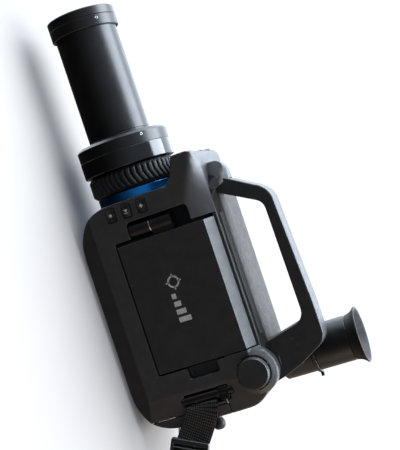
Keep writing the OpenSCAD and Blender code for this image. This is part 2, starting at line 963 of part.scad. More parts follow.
module turned_latch() {
    translate([latch_x, 0, latch_z]) rotate([-90, 0, 0]) rotate_extrude()
        polygon([
            [0, rear_y + 0.3], [5.2, rear_y + 0.3], [5.2, 101], [4.9, 102],
            [4.9, 104.6], [4, 105.6], [0, 105.6]
        ]);
}

module door_hinge_pin() {
    color("#a8aaae")
        rod_z(door_pin_z[0], door_pin_z[1], door_hinge_x, door_hinge_y, door_pin_r);
}

module housing_screws() {
    color("#6b6d71") {
        screw_places() {
            translate([0, 0, 0.2]) cylinder(h = 1.6, r = 3);
            translate([0, 0, 1.8]) cylinder(h = 6, r = 1.5);
        }
        for (y = side_screw_y, z = side_screw_z)
            rod_x(0.4 - half_w, 1.9 - half_w, y, z, 2.6);
    }
}

housing_main();
left_cover();
front_bezel();
base_plate();
tripod_socket();
top_spine();
pivot_boss();
blue_ring();
lens_barrel();
focus_ring();
lens_adapter_rear();
lens_adapter_front();
lens_tube();
lens_front_ring();
front_element();
rear_element();
lens_set_screws();
detector_dewar();
cryocooler();
main_board();
power_board();
battery_pack();
battery_contacts();
visual_camera();
target_lamp();
handle_front_boss();
handle();
handle_screws();
vf_shaft();
vf_pivot_cap();
vf_hub();
vf_barrel_lower();
vf_barrel_upper();
vf_eye_lens();
vf_microdisplay();
eyecup();
diopter_ring();
hinge_base();
hinge_pin();
hinge_washer();
display_knuckle();
display_cover();
display_bezel();
display_glass();
button_upper();
button_middle();
button_lower();
button_board();
strap_bar();
strap_bar_screw();
strap_lug();
strap_rear_run();
strap_bundle();
strap_front_run();
strap_slider();
strap_tie();
battery_door();
latch_knob();
door_hinge_pin();
housing_screws();
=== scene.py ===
"""Looks of a handheld thermal imaging camera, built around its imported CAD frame.

X runs to the camera's left side, Y to its rear, Z up. Sizes are in millimetres until a mesh is
made, and the meshes are in metres. Each piece takes its place from the CAD node it stands for.
"""
from math import atan2, cos, pi, radians, sin

import bmesh
import bpy
from mathutils import Matrix, Vector


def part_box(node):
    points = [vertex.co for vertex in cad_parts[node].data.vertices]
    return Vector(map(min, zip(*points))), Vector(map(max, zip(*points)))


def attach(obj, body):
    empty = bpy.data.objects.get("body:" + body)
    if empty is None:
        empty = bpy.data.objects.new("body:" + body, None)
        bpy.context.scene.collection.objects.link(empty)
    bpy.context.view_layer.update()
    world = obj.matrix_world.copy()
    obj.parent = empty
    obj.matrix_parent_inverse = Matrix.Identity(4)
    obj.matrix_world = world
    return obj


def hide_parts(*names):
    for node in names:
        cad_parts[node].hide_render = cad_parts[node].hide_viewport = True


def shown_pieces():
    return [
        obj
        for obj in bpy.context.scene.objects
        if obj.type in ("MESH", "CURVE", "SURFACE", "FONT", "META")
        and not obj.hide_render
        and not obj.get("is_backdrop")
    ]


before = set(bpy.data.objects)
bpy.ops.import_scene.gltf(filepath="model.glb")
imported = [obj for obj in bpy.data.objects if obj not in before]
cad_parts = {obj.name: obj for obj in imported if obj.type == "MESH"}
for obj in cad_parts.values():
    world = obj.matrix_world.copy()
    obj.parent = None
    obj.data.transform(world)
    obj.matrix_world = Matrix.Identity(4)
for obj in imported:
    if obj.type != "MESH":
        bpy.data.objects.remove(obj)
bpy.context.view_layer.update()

MM = 0.001
TURN = 2 * pi
WEAVE_ROW = 2.1
WEAVE_COLUMN = 1.7


# ---------------------------------------------------------------- places from the frame

def span(node):
    """Lowest and highest corner of a CAD node, in millimetres."""
    low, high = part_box(node)
    return low / MM, high / MM


def about_y(x, z):
    """Places (radius, along, angle) round a line parallel to Y."""
    return lambda r, along, a: Vector((x + r * cos(a), along, z + r * sin(a)))


def about_z(x, y):
    """Places (radius, along, angle) round a line parallel to Z."""
    return lambda r, along, a: Vector((x + r * cos(a), y + r * sin(a), along))


def about_x(y, z):
    """Places (radius, along, angle) round a line parallel to X."""
    return lambda r, along, a: Vector((along, y + r * cos(a), z + r * sin(a)))


# ---------------------------------------------------------------- mesh tools

def softened(points, radius, steps=3):
    """A closed outline with its corners rounded off. Corners on the axis, at 0, stay sharp."""
    rounded = []
    count = len(points)
    for i, point in enumerate(points):
        corner = Vector(point)
        if corner.x < 1e-6:
            rounded.append(corner)
            continue
        before = Vector(points[i - 1]) - corner
        after = Vector(points[(i + 1) % count]) - corner
        start = corner + before.normalized() * min(radius, before.length * 0.45)
        end = corner + after.normalized() * min(radius, after.length * 0.45)
        for k in range(steps + 1):
            t = k / steps
            rounded.append(start * (1 - t) ** 2 + corner * 2 * t * (1 - t) + end * t * t)
    return rounded


def mesh_from(builder, name):
    """Turns a bmesh in millimetres into a mesh in metres."""
    bmesh.ops.recalc_face_normals(builder, faces=builder.faces)
    bmesh.ops.scale(builder, vec=(MM, MM, MM), verts=builder.verts)
    mesh = bpy.data.meshes.new(name)
    builder.to_mesh(mesh)
    builder.free()
    return mesh


def add_lathe(builder, profile, place, segments=128, shape=None):
    """Adds the closed solid turned from (radius, along) points.

    shape(radius, along, angle) may change the radius, for flutes and sockets.
    """
    rings = []
    for radius, along in profile:
        if radius < 1e-6:
            rings.append([builder.verts.new(place(0, along, 0))] * segments)
            continue
        ring = []
        for k in range(segments):
            angle = TURN * k / segments
            reach = shape(radius, along, angle) if shape else radius
            ring.append(builder.verts.new(place(reach, along, angle)))
        rings.append(ring)
    for i, ring in enumerate(rings):
        other = rings[(i + 1) % len(rings)]
        for k in range(segments):
            n = (k + 1) % segments
            corners = []
            for vertex in (ring[k], ring[n], other[n], other[k]):
                if vertex not in corners:
                    corners.append(vertex)
            if len(corners) > 2:
                builder.faces.new(corners)


def lathe(name, profile, place, rounding=0.35, segments=128, shape=None):
    builder = bmesh.new()
    add_lathe(builder, softened(profile, rounding), place, segments, shape)
    return mesh_from(builder, name)


def add_prism(builder, outline, place, low, high, bevel=0.0):
    """Adds an outline of 2D points, extruded from low to high, with its two rims bevelled."""
    floor = [builder.verts.new(place(u, v, low)) for u, v in outline]
    roof = [builder.verts.new(place(u, v, high)) for u, v in outline]
    made = [builder.faces.new(floor), builder.faces.new(roof)]
    for i in range(len(outline)):
        n = (i + 1) % len(outline)
        builder.faces.new((floor[i], floor[n], roof[n], roof[i]))
    if bevel:
        rims = list({edge for face in made for edge in face.edges})
        bmesh.ops.recalc_face_normals(builder, faces=builder.faces)
        bmesh.ops.bevel(
            builder, geom=rims, offset=bevel, segments=3, profile=0.5, affect="EDGES"
        )


def rounded_rectangle(width, height, radius, steps=5, middle=(0, 0)):
    """Corner points of a rectangle with round corners, turning from its right side."""
    points = []
    for quarter, (sx, sy) in enumerate(((1, 1), (-1, 1), (-1, -1), (1, -1))):
        for k in range(steps + 1):
            angle = (quarter + k / steps) * pi / 2
            points.append((
                middle[0] + sx * (width / 2 - radius) + radius * cos(angle),
                middle[1] + sy * (height / 2 - radius) + radius * sin(angle),
            ))
    return points


def on_x(u, v, along):
    return Vector((along, u, v))


def on_y(u, v, along):
    return Vector((u, along, v))


def on_z(u, v, along):
    return Vector((u, v, along))


def add_block(builder, low, high, bevel=0.3):
    outline = [(low[0], low[1]), (high[0], low[1]), (high[0], high[1]), (low[0], high[1])]
    add_prism(builder, outline, on_z, low[2], high[2], bevel)


def hexagon(radius, angle):
    """Radius of a hexagon's side, with its flats at radius, at an angle."""
    return radius / cos(angle % (pi / 3) - pi / 6)


def evaluated(obj):
    """The mesh of obj with its modifiers applied."""
    graph = bpy.context.evaluated_depsgraph_get()
    return bpy.data.meshes.new_from_object(obj.evaluated_get(graph))


def melted(name, meshes, voxel, rounds, keep):
    """One soft-edged skin over several closed meshes, made of voxels of that size."""
    builder = bmesh.new()
    for mesh in meshes:
        builder.from_mesh(mesh)
    bmesh.ops.remove_doubles(builder, verts=builder.verts, dist=1e-6)
    joined = bpy.data.meshes.new(name)
    builder.to_mesh(joined)
    builder.free()
    obj = bpy.data.objects.new(name, joined)
    bpy.context.scene.collection.objects.link(obj)
    remesh = obj.modifiers.new("voxels", "REMESH")
    remesh.mode = "VOXEL"
    remesh.voxel_size = voxel * MM
    remesh.adaptivity = 0.0
    smooth = obj.modifiers.new("soft", "SMOOTH")
    smooth.factor = 0.5
    smooth.iterations = rounds
    fewer = obj.modifiers.new("fewer", "DECIMATE")
    fewer.ratio = keep
    mesh = evaluated(obj)
    bpy.data.objects.remove(obj)
    mesh.name = name
    return mesh


def cad_mesh(node):
    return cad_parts[node].data


# ---------------------------------------------------------------- materials

class Paint:
    """A procedural material being put together, with short names for the usual nodes."""

    def __init__(self, name):
        self.material = bpy.data.materials.new(name)
        self.material.use_nodes = True
        self.tree = self.material.node_tree
        self.shader = self.tree.nodes["Principled BSDF"]
        self.place = self.node("ShaderNodeTexCoord").outputs["Object"]

    def node(self, kind, **settings):
        made = self.tree.nodes.new(kind)
        for key, value in settings.items():
            setattr(made, key, value)
        return made

    def link(self, source, target):
        self.tree.links.new(source, target)

    def noise(self, scale, detail=4.0, rough=0.55, where=None, stretch=None):
        """Noise whose grains are about 1/scale metres wide."""
        made = self.node("ShaderNodeTexNoise")
        made.inputs["Scale"].default_value = scale
        made.inputs["Detail"].default_value = detail
        made.inputs["Roughness"].default_value = rough
        source = where or self.place
        if stretch:
            mapping = self.node("ShaderNodeMapping")
            mapping.inputs["Scale"].default_value = stretch
            self.link(source, mapping.inputs["Vector"])
            source = mapping.outputs["Vector"]
        self.link(source, made.inputs["Vector"])
        return made.outputs["Fac"]

    def ramp(self, source, stops):
        """Colours over a 0 to 1 value; each stop is (position, (r, g, b))."""
        made = self.node("ShaderNodeValToRGB")
        elements = made.color_ramp.elements
        while len(elements) < len(stops):
            elements.new(0.5)
        for element, (position, colour) in zip(elements, stops):
            element.position = position
            element.color = (*colour, 1)
        self.link(source, made.inputs["Fac"])
        return made.outputs["Color"]

    def spread(self, source, low, high, start=0.3, end=0.7):
        made = self.node("ShaderNodeMapRange")
        made.inputs["From Min"].default_value = start
        made.inputs["From Max"].default_value = end
        made.inputs["To Min"].default_value = low
        made.inputs["To Max"].default_value = high
        self.link(source, made.inputs["Value"])
        return made.outputs["Result"]

    def math(self, operation, a, b):
        made = self.node("ShaderNodeMath", operation=operation)
        for socket, value in zip(made.inputs, (a, b)):
            if isinstance(value, (int, float)):
                socket.default_value = value
            else:
                self.link(value, socket)
        return made.outputs["Value"]

    def mix(self, factor, a, b):
        made = self.node("ShaderNodeMix", data_type="RGBA")
        self.link(factor, made.inputs["Factor"])
        for socket, value in ((made.inputs["A"], a), (made.inputs["B"], b)):
            if isinstance(value, tuple):
                socket.default_value = (*value, 1)
            else:
                self.link(value, socket)
        return made.outputs["Result"]

    def bump(self, height, depth, under=None):
        """Relief of that depth in millimetres, over another relief."""
        made = self.node("ShaderNodeBump")
        made.inputs["Strength"].default_value = 1.0
        made.inputs["Distance"].default_value = depth * MM
        self.link(height, made.inputs["Height"])
        if under:
            self.link(under, made.inputs["Normal"])
        return made.outputs["Normal"]

    def set(self, **values):
        for key, value in values.items():
            socket = self.shader.inputs[key.replace("_", " ")]
            if isinstance(value, bpy.types.NodeSocket):
                self.link(value, socket)
            else:
                socket.default_value = (*value, 1) if isinstance(value, tuple) else value
        return self.material


def moulded(name, dark, light, rough, grain=0.35, depth=0.03, shine=0.5, wear=0.0, scratched=None):
    """Moulded plastic or rubber: fine grain, cloudy colour, and wear on its raised edges.

    scratched is a place in metres that has fine scratches round it.
    """
    paint = Paint(name)
    cloud = paint.noise(90, 3)
    grains = paint.noise(1 / (grain * MM), 2, 0.6)
    colour = paint.ramp(cloud, [(0.3, dark), (0.7, light)])
    roughness = paint.spread(paint.noise(220, 5), rough[0], rough[1])
    if wear:
        edges = paint.node("ShaderNodeNewGeometry").outputs["Pointiness"]
        edges = paint.spread(edges, 0.0, 1.0, 0.535, 0.6)
        patches = paint.spread(paint.noise(130, 6, 0.7), 0.0, wear, 0.42, 0.62)
        worn = paint.math("MULTIPLY", edges, patches)
        if scratched:
            worn = paint.math("MAXIMUM", worn, scratches(paint, scratched))
        colour = paint.mix(worn, colour, (0.42, 0.40, 0.37))
    scuffs = paint.noise(400, 3, 0.5, stretch=(1, 0.08, 1))
    relief = paint.bump(scuffs, depth * 0.3, paint.bump(grains, depth))
    paint.set(Base_Color=colour, Roughness=roughness, Normal=relief)
    return paint.set(Specular_IOR_Level=shine)


def scratches(paint, place):
    """Thin scratches in two directions, within about a centimetre of a place."""
    away = paint.node("ShaderNodeVectorMath", operation="DISTANCE")
    away.inputs[1].default_value = place
    paint.link(paint.place, away.inputs[0])
    near = paint.spread(away.outputs["Value"], 1.0, 0.0, 0.008, 0.016)
    lines = paint.noise(700, 1, 0.4, stretch=(1, 0.05, 0.6))
    others = paint.noise(600, 1, 0.4, stretch=(1, 0.7, 0.06))
    lines = paint.spread(lines, 0.0, 0.8, 0.69, 0.72)
    others = paint.spread(others, 0.0, 0.8, 0.69, 0.72)
    return paint.math("MULTIPLY", near, paint.math("MAXIMUM", lines, others))


def turned_metal(name, dark, light, rough, metal, axis=(0.02, 1, 0.02), shine=0.5):
    """Bare, anodised or lacquered metal with faint tool lines and small rubbed places."""
    paint = Paint(name)
    lines = paint.noise(900, 2, 0.6, stretch=axis)
    cloud = paint.noise(60, 4)
    specks = paint.spread(paint.noise(1800, 2), 0.0, 1.0, 0.62, 0.8)
    colour = paint.ramp(cloud, [(0.3, dark), (0.7, light)])
    roughness = paint.spread(paint.noise(140, 5), rough[0], rough[1])
    relief = paint.bump(lines, 0.0015, paint.bump(specks, 0.002))
    paint.set(Base_Color=colour, Roughness=roughness, Normal=relief)
    return paint.set(Metallic=metal, Specular_IOR_Level=shine)


def glass(name, tint, rough, grazing_sheen_tint):
    """Dark coated glass: a deep tint, a coloured sheen painted into its colour towards grazing view, and a
    few dust specks.
    """
    paint = Paint(name)
    dust = paint.spread(paint.noise(1500, 3), 0.0, 1.0, 0.66, 0.8)
    # Painted reflection: the base colour turns from the tint to a brighter coloured sheen where the surface
    # turns away from the view.
    facing = paint.node("ShaderNodeLayerWeight").outputs["Facing"]
    colour = paint.mix(facing, tint, grazing_sheen_tint)
    paint.set(Base_Color=colour, Roughness=paint.spread(dust, rough, rough + 0.3, 0.0, 1.0))
    paint.set(Normal=paint.bump(dust, 0.002))
    return paint.set(Coat_Weight=1.0, Coat_Roughness=0.03, Specular_IOR_Level=0.8)


def printed(name, colour, rough=0.5):
    """Ink or paint with a slightly uneven edge-to-edge coverage."""
    paint = Paint(name)
    patches = paint.noise(900, 4)
    faded = tuple(0.72 * c for c in colour)
    paint.set(Base_Color=paint.ramp(patches, [(0.35, faded), (0.6, colour)]))
    paint.set(Roughness=paint.spread(patches, rough, rough + 0.15))
    return paint.set(Normal=paint.bump(patches, 0.01))


def circuit_board():
    paint = Paint("circuit_board")
    cells = paint.node("ShaderNodeTexVoronoi", distance="MANHATTAN")
    cells.inputs["Scale"].default_value = 320
    paint.link(paint.place, cells.inputs["Vector"])
    tracks = paint.spread(cells.outputs["Distance"], 0.0, 1.0, 0.2, 0.5)
    paint.set(Base_Color=paint.ramp(tracks, [(0.3, (0.03, 0.15, 0.08)), (0.7, (0.09, 0.26, 0.12))]))
    paint.set(Normal=paint.bump(tracks, 0.04))
    return paint.set(Roughness=paint.spread(paint.noise(500), 0.25, 0.5))


def woven(name):
    """Black nylon webbing. The UV map holds millimetres across and along the strap."""
    paint = Paint(name)
    flat = paint.node("ShaderNodeUVMap", uv_map="weave").outputs["UV"]
    split = paint.node("ShaderNodeSeparateXYZ")
    paint.link(flat, split.inputs["Vector"])
    across = split.outputs["X"]
    along = split.outputs["Y"]
    row_rate = pi / WEAVE_ROW
    row = paint.math("ABSOLUTE", paint.math("SINE", paint.math("MULTIPLY", along, row_rate), 0), 0)
    wave = paint.math("MULTIPLY", across, pi / WEAVE_COLUMN)
    column = paint.math("ABSOLUTE", paint.math("SINE", wave, 0), 0)
    picks = paint.math("MULTIPLY", paint.math("POWER", row, 0.8), paint.math("POWER", column, 0.6))
    fibres = paint.noise(9, 2, 0.6, where=flat, stretch=(1, 0.25, 1))
    flecks = paint.spread(paint.noise(0.45, 5, 0.9, where=flat), 0.0, 1.0, 0.63, 0.69)
    flecks = paint.math("MULTIPLY", flecks, picks)
    # Painted shade and highlight: the gaps between the threads are painted near black and the thread crowns
    # lighter, standing in for the shading of the weave's relief.
    painted_weave_shading = paint.ramp(picks, [(0.3, (0.0005, 0.0005, 0.0005)), (0.9, (0.055, 0.052, 0.049))])
    paint.set(Base_Color=paint.mix(flecks, painted_weave_shading, (0.4, 0.3, 0.2)))
    paint.set(Roughness=paint.spread(fibres, 0.5, 0.85))
    paint.set(Normal=paint.bump(fibres, 0.05, paint.bump(picks, 0.3)))
    return paint.set(Specular_IOR_Level=0.2, Sheen_Weight=0.03)


NEAR_BLACK = (0.0075, 0.0075, 0.008)
DEEP_BLACK = (0.004, 0.004, 0.0045)
DARK_GREY = (0.011, 0.011, 0.0115)
REAR_ARM = (0.031, 0.066, 0.128)

SHELL_DARK = (0.022, 0.022, 0.023)
SHELL_LIGHT = (0.032, 0.032, 0.033)
RIDGE_DARK = (0.02, 0.0175, 0.0155)
RIDGE_LIGHT = (0.034, 0.03, 0.0265)
POWDER_DARK = (0.016, 0.016, 0.017)
POWDER_LIGHT = (0.024, 0.024, 0.025)
CHARCOAL = moulded("charcoal_shell", SHELL_DARK, SHELL_LIGHT, (0.42, 0.55), 0.75, 0.12, 0.55, 0.1)
RIDGE = moulded("grained_ridge", RIDGE_DARK, RIDGE_LIGHT, (0.58, 0.74), 0.9, 0.26, 0.2, 0.2)
COVER = moulded("satin_cover", SHELL_DARK, SHELL_LIGHT, (0.4, 0.5), 0.75, 0.1, 0.55, 0.15)
PANEL = moulded("satin_display", (0.014, 0.014, 0.015), SHELL_DARK, (0.36, 0.45), 0.6, 0.03, 0.55, 0.1)
GRIP = moulded("worn_grip", (0.014, 0.014, 0.015), SHELL_DARK, (0.36, 0.52), 0.7, 0.05, 0.42, 1.0, REAR_ARM)
SOFT_BLACK = moulded("soft_black", DEEP_BLACK, NEAR_BLACK, (0.4, 0.5), 0.4, 0.02, 0.3)
RUBBER = moulded("ribbed_rubber", DEEP_BLACK, DARK_GREY, (0.5, 0.62), 0.3, 0.02, 0.4, 0.1)
KEY_RUBBER = moulded("key_rubber", DEEP_BLACK, NEAR_BLACK, (0.5, 0.6), 0.4, 0.02, 0.25, 0.1)
SATIN = moulded("satin_barrel", DEEP_BLACK, NEAR_BLACK, (0.26, 0.36), 0.5, 0.012, 0.3, 0.4)
BUCKLE = moulded("buckle_plastic", NEAR_BLACK, (0.015, 0.015, 0.016), (0.28, 0.4), 0.5, 0.02, 0.6, 0.5)
WRAP = moulded("battery_wrap", (0.02, 0.03, 0.06), (0.035, 0.045, 0.08), (0.3, 0.45), 1.2, 0.03)
POWDER = moulded("powder_coat", POWDER_DARK, POWDER_LIGHT, (0.5, 0.65), 0.6, 0.05, 0.5, 0.6)
LACQUER = turned_metal("lens_lacquer", DEEP_BLACK, NEAR_BLACK, (0.3, 0.37), 0.0, shine=0.38)
GLOSS = turned_metal("gloss_lacquer", DEEP_BLACK, NEAR_BLACK, (0.1, 0.15), 0.0, shine=0.5)
BLUE = turned_metal("blue_anodised", (0.016, 0.17, 0.48), (0.028, 0.26, 0.68), (0.26, 0.34), 1.0)
STEEL = turned_metal("bright_steel", (0.5, 0.5, 0.52), (0.62, 0.62, 0.64), (0.2, 0.36), 1.0, (1, 1, 0.05))
DARK_STEEL = turned_metal("black_steel", (0.02, 0.02, 0.021), (0.04, 0.04, 0.042), (0.3, 0.45), 0.6)
ALUMINIUM = turned_metal("machined_aluminium", (0.5, 0.51, 0.53), (0.6, 0.61, 0.63), (0.28, 0.42), 1.0)
GOLD = turned_metal("gold_contacts", (0.7, 0.5, 0.2), (0.8, 0.6, 0.28), (0.2, 0.35), 1.0)
GERMANIUM = glass("germanium", (0.05, 0.03, 0.05), 0.04, (0.16, 0.07, 0.2))
DARK_GLASS = glass("dark_glass", (0.008, 0.01, 0.014), 0.03, (0.03, 0.05, 0.09))
EYE_GLASS = glass("eye_glass", (0.02, 0.025, 0.03), 0.03, (0.10, 0.14, 0.2))
MARK = printed("printed_mark", (0.55, 0.55, 0.56))
LABEL = printed("plain_label", (0.035, 0.035, 0.036), 0.4)
LAMP = printed("frosted_lamp", (0.6, 0.6, 0.56), 0.3)
BOARD = circuit_board()
WEBBING = woven("black_webbing")


# ---------------------------------------------------------------- pieces

def piece(name, mesh, body, slot, material, *nodes, smooth_angle=40):
    """A shown piece that rides on a body, takes a material's finish and stands for CAD nodes. Its slot is
    not used.
    """
    obj = bpy.data.objects.new(name, mesh)
    bpy.context.scene.collection.objects.link(obj)
    mesh.materials.clear()
    mesh.materials.append(material)
    mesh.shade_smooth()
    mesh.set_sharp_from_angle(angle=radians(smooth_angle))
    normals = obj.modifiers.new("normals", "WEIGHTED_NORMAL")
    normals.keep_sharp = True
    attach(obj, body)
    if nodes:
        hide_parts(*nodes)
    return obj


def dress(node, material, bevel=0.3):
    """Gives a CAD node its material and softens its sharp edges."""
    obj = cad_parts[node]
    obj.data.materials.clear()
    obj.data.materials.append(material)
    for face in obj.data.polygons:
        face.material_index = 0
    weld = obj.modifiers.new("weld", "WELD")
    weld.merge_threshold = 1e-6
    if bevel:
        edge = obj.modifiers.new("bevel", "BEVEL")
        edge.width = bevel * MM
        edge.segments = 2
        edge.limit_method = "ANGLE"
        edge.angle_limit = radians(40)
        edge.use_clamp_overlap = True
    normals = obj.modifiers.new("normals", "WEIGHTED_NORMAL")
    normals.keep_sharp = False
    return obj


# ---------------------------------------------------------------- camera, floor and light

VIEW_RISE = radians(15)
VIEW_ROLL = radians(18.5)
VIEW_TARGET = Vector((0, -50.6, 88))
VIEW_DISTANCE = 880
VIEW_LENS = 88


def make_camera():
    outward = Vector((cos(VIEW_RISE), 0, sin(VIEW_RISE)))
    upward = Vector((-sin(VIEW_RISE), 0, cos(VIEW_RISE)))
    rearward = Vector((0, 1, 0))
    right = cos(VIEW_ROLL) * upward + sin(VIEW_ROLL) * rearward
    down = cos(VIEW_ROLL) * rearward - sin(VIEW_ROLL) * upward
    camera = bpy.data.objects.new("camera", bpy.data.cameras.new("camera"))
    camera.matrix_world = Matrix((right, -down, outward)).transposed().to_4x4()
    camera.location = (VIEW_TARGET + outward * VIEW_DISTANCE) * MM
    camera.data.lens = VIEW_LENS
    camera.data.clip_end = 100
    bpy.context.scene.collection.objects.link(camera)
    bpy.context.scene.camera = camera


def make_floor():
    builder = bmesh.new()
    bmesh.ops.create_grid(builder, x_segments=4, y_segments=4, size=30000)
    floor = bpy.data.objects.new("floor", mesh_from(builder, "floor"))
    floor.location.z = -0.05 * MM
    bpy.context.scene.collection.objects.link(floor)
    paint = Paint("pale_floor")
    shade = paint.ramp(paint.noise(3, 3), [(0.3, (0.76, 0.76, 0.77)), (0.7, (0.8, 0.8, 0.8))])
    paint.set(Base_Color=shade, Roughness=paint.spread(paint.noise(6), 0.8, 0.9))
    floor.data.materials.append(paint.set(Specular_IOR_Level=0.1))
    floor.visible_glossy = False
    floor.visible_diffuse = False
    floor.visible_shadow = False
    floor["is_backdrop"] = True
    return floor


def area_light(name, place, target, size, strength, colour):
    """A soft box. strength is the brightness of its face, whatever its size."""
    light = bpy.data.lights.new(name, "AREA")
    light.shape = "RECTANGLE"
    light.size = size[0]
    light.size_y = size[1]
    light.energy = strength * size[0] * size[1] * pi
    light.color = colour
    obj = bpy.data.objects.new(name, light)
    obj.location = place
    aim = (Vector(target) - Vector(place)).normalized()
    obj.rotation_euler = aim.to_track_quat("-Z", "Y").to_euler()
    bpy.context.scene.collection.objects.link(obj)
    return obj


def make_world():
    """A dim room: cooler above, warm to the rear, and a pale wall low at the front and far side."""
    world = bpy.data.worlds.new("room")
    bpy.context.scene.world = world
    world.use_nodes = True
    tree = world.node_tree
    background = tree.nodes["Background"]
    direction = tree.nodes.new("ShaderNodeTexCoord").outputs["Generated"]
    split = tree.nodes.new("ShaderNodeSeparateXYZ")
    tree.links.new(direction, split.inputs["Vector"])
    height = tree.nodes.new("ShaderNodeValToRGB")
    levels = ((0.12, (0.006, 0.006, 0.007)), (0.38, (0.1, 0.104, 0.11)), (0.8, (0.36, 0.42, 0.5)))
    height.color_ramp.elements.new(0.5)
    for element, (position, colour) in zip(height.color_ramp.elements, levels):
        element.position = position
        element.color = (*colour, 1)
    lifted = tree.nodes.new("ShaderNodeMapRange")
    lifted.inputs["From Min"].default_value = -1
    tree.links.new(split.outputs["Z"], lifted.inputs["Value"])
    tree.links.new(lifted.outputs["Result"], height.inputs["Fac"])
    rear = tree.nodes.new("ShaderNodeMapRange")
    rear.inputs["From Min"].default_value = 0.28
    rear.inputs["From Max"].default_value = 0.75
    tree.links.new(split.outputs["Y"], rear.inputs["Value"])
    warm = tree.nodes.new("ShaderNodeMix")
    warm.data_type = "RGBA"
    warm.inputs["B"].default_value = (0.62, 0.48, 0.38, 1)
    tree.links.new(rear.outputs["Result"], warm.inputs["Factor"])
    tree.links.new(height.outputs["Color"], warm.inputs["A"])
    toward = tree.nodes.new("ShaderNodeVectorMath")
    toward.operation = "DOT_PRODUCT"
    toward.inputs[1].default_value = (-0.45, -0.88, -0.15)
    tree.links.new(direction, toward.inputs[0])
    near = tree.nodes.new("ShaderNodeMapRange")
    near.inputs["From Min"].default_value = 0.62
    near.inputs["From Max"].default_value = 0.9
    tree.links.new(toward.outputs["Value"], near.inputs["Value"])
    glow = tree.nodes.new("ShaderNodeMix")
    glow.data_type = "RGBA"
    glow.inputs["B"].default_value = (3.0, 3.3, 3.7, 1)
    tree.links.new(near.outputs["Result"], glow.inputs["Factor"])
    tree.links.new(warm.outputs["Result"], glow.inputs["A"])
    seen = tree.nodes.new("ShaderNodeMix")
    seen.data_type = "RGBA"
    seen.inputs["B"].default_value = (0.96, 0.96, 0.98, 1)
    ray = tree.nodes.new("ShaderNodeLightPath")
    tree.links.new(ray.outputs["Is Camera Ray"], seen.inputs["Factor"])
    tree.links.new(glow.outputs["Result"], seen.inputs["A"])
    tree.links.new(seen.outputs["Result"], background.inputs["Color"])


def make_lights(floor):
    """Soft boxes for the object alone, and an even light for the floor alone."""
    cool = (0.8, 0.89, 1.0)
    warm = (1.0, 0.84, 0.68)
    middle = (0, 0, 0.08)
    boxes = [
        area_light("window_box", (-0.32, -0.05, 1.2), middle, (2.0, 0.85), 17.0, cool),
        area_light("back_box", (-1.45, 0.0, 0.78), middle, (2.4, 1.7), 3.4, cool),
        area_light("front_box", (-0.3, -1.7, 0.95), middle, (1.3, 0.8), 6.0, cool),
        area_light("low_front", (0.1, -1.5, 0.36), middle, (0.9, 0.6), 4.0, cool),
        area_light("rear_glow", (0.5, 1.3, 0.25), middle, (0.9, 0.5), 3.0, warm),
    ]
    even = bpy.data.lights.new("even_light", "SUN")
    even.energy = 2.85
    even.angle = radians(80)
    sun = bpy.data.objects.new("even_light", even)
    sun.rotation_euler = (radians(12), radians(-18), 0)
    bpy.context.scene.collection.objects.link(sun)
    floor_only = bpy.data.collections.new("floor_only")
    floor_only.objects.link(floor)
    sun.light_linking.receiver_collection = floor_only
    bpy.context.scene.view_settings.view_transform = "Standard"
    return boxes


def link_boxes(boxes):
    """The soft boxes light the object's pieces only, so the floor stays evenly pale."""
    lit = bpy.data.collections.new("object_only")
    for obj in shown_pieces():
        lit.objects.link(obj)
    for box in boxes:
        box.light_linking.receiver_collection = lit


make_camera()
floor = make_floor()
make_world()
boxes = make_lights(floor)


# ---------------------------------------------------------------- strap

STRAP_WIDTH = 25.0
STRAP_THICK = 1.3
FOLDS = 5
LOOP_PIN = (40.8, 80.5)
LOOP_PIN_R = 0.7


def smooth_route(stations, step):
    """Evenly spaced points on the curve through (point, facing) stations."""
    dense = []
    count = len(stations)
    for i in range(count - 1):
        quad = [stations[max(0, min(count - 1, i + k))] for k in (-1, 0, 1, 2)]
        for k in range(24):
            t = k / 24
            dense.append(tuple(catmull([q[part] for q in quad], t) for part in (0, 1)))
    dense.append(stations[-1])
    evened = [dense[0]]
    left = step
    for (a, facing_a), (b, facing_b) in zip(dense, dense[1:]):
        length = (b - a).length
        done = 0.0
        while length - done >= left:
            done += left
            t = done / length
            evened.append((a.lerp(b, t), facing_a.lerp(facing_b, t)))
            left = step
        left -= length - done
    return evened


def catmull(p, t):
    return 0.5 * (
        2 * p[1]
        + (p[2] - p[0]) * t
        + (2 * p[0] - 5 * p[1] + 4 * p[2] - p[3]) * t * t
        + (3 * p[1] - p[0] - 3 * p[2] + p[3]) * t ** 3
    )


def turn_round(middle, first, second, radius, start, end, steps=8):
    """Stations round an arc in the plane of two directions; they face away from its middle."""
    stations = []
    for k in range(steps + 1):
        angle = radians(start + (end - start) * k / steps)
        facing = first * cos(angle) + second * sin(angle)
        stations.append((middle + facing * radius, facing))
    return stations


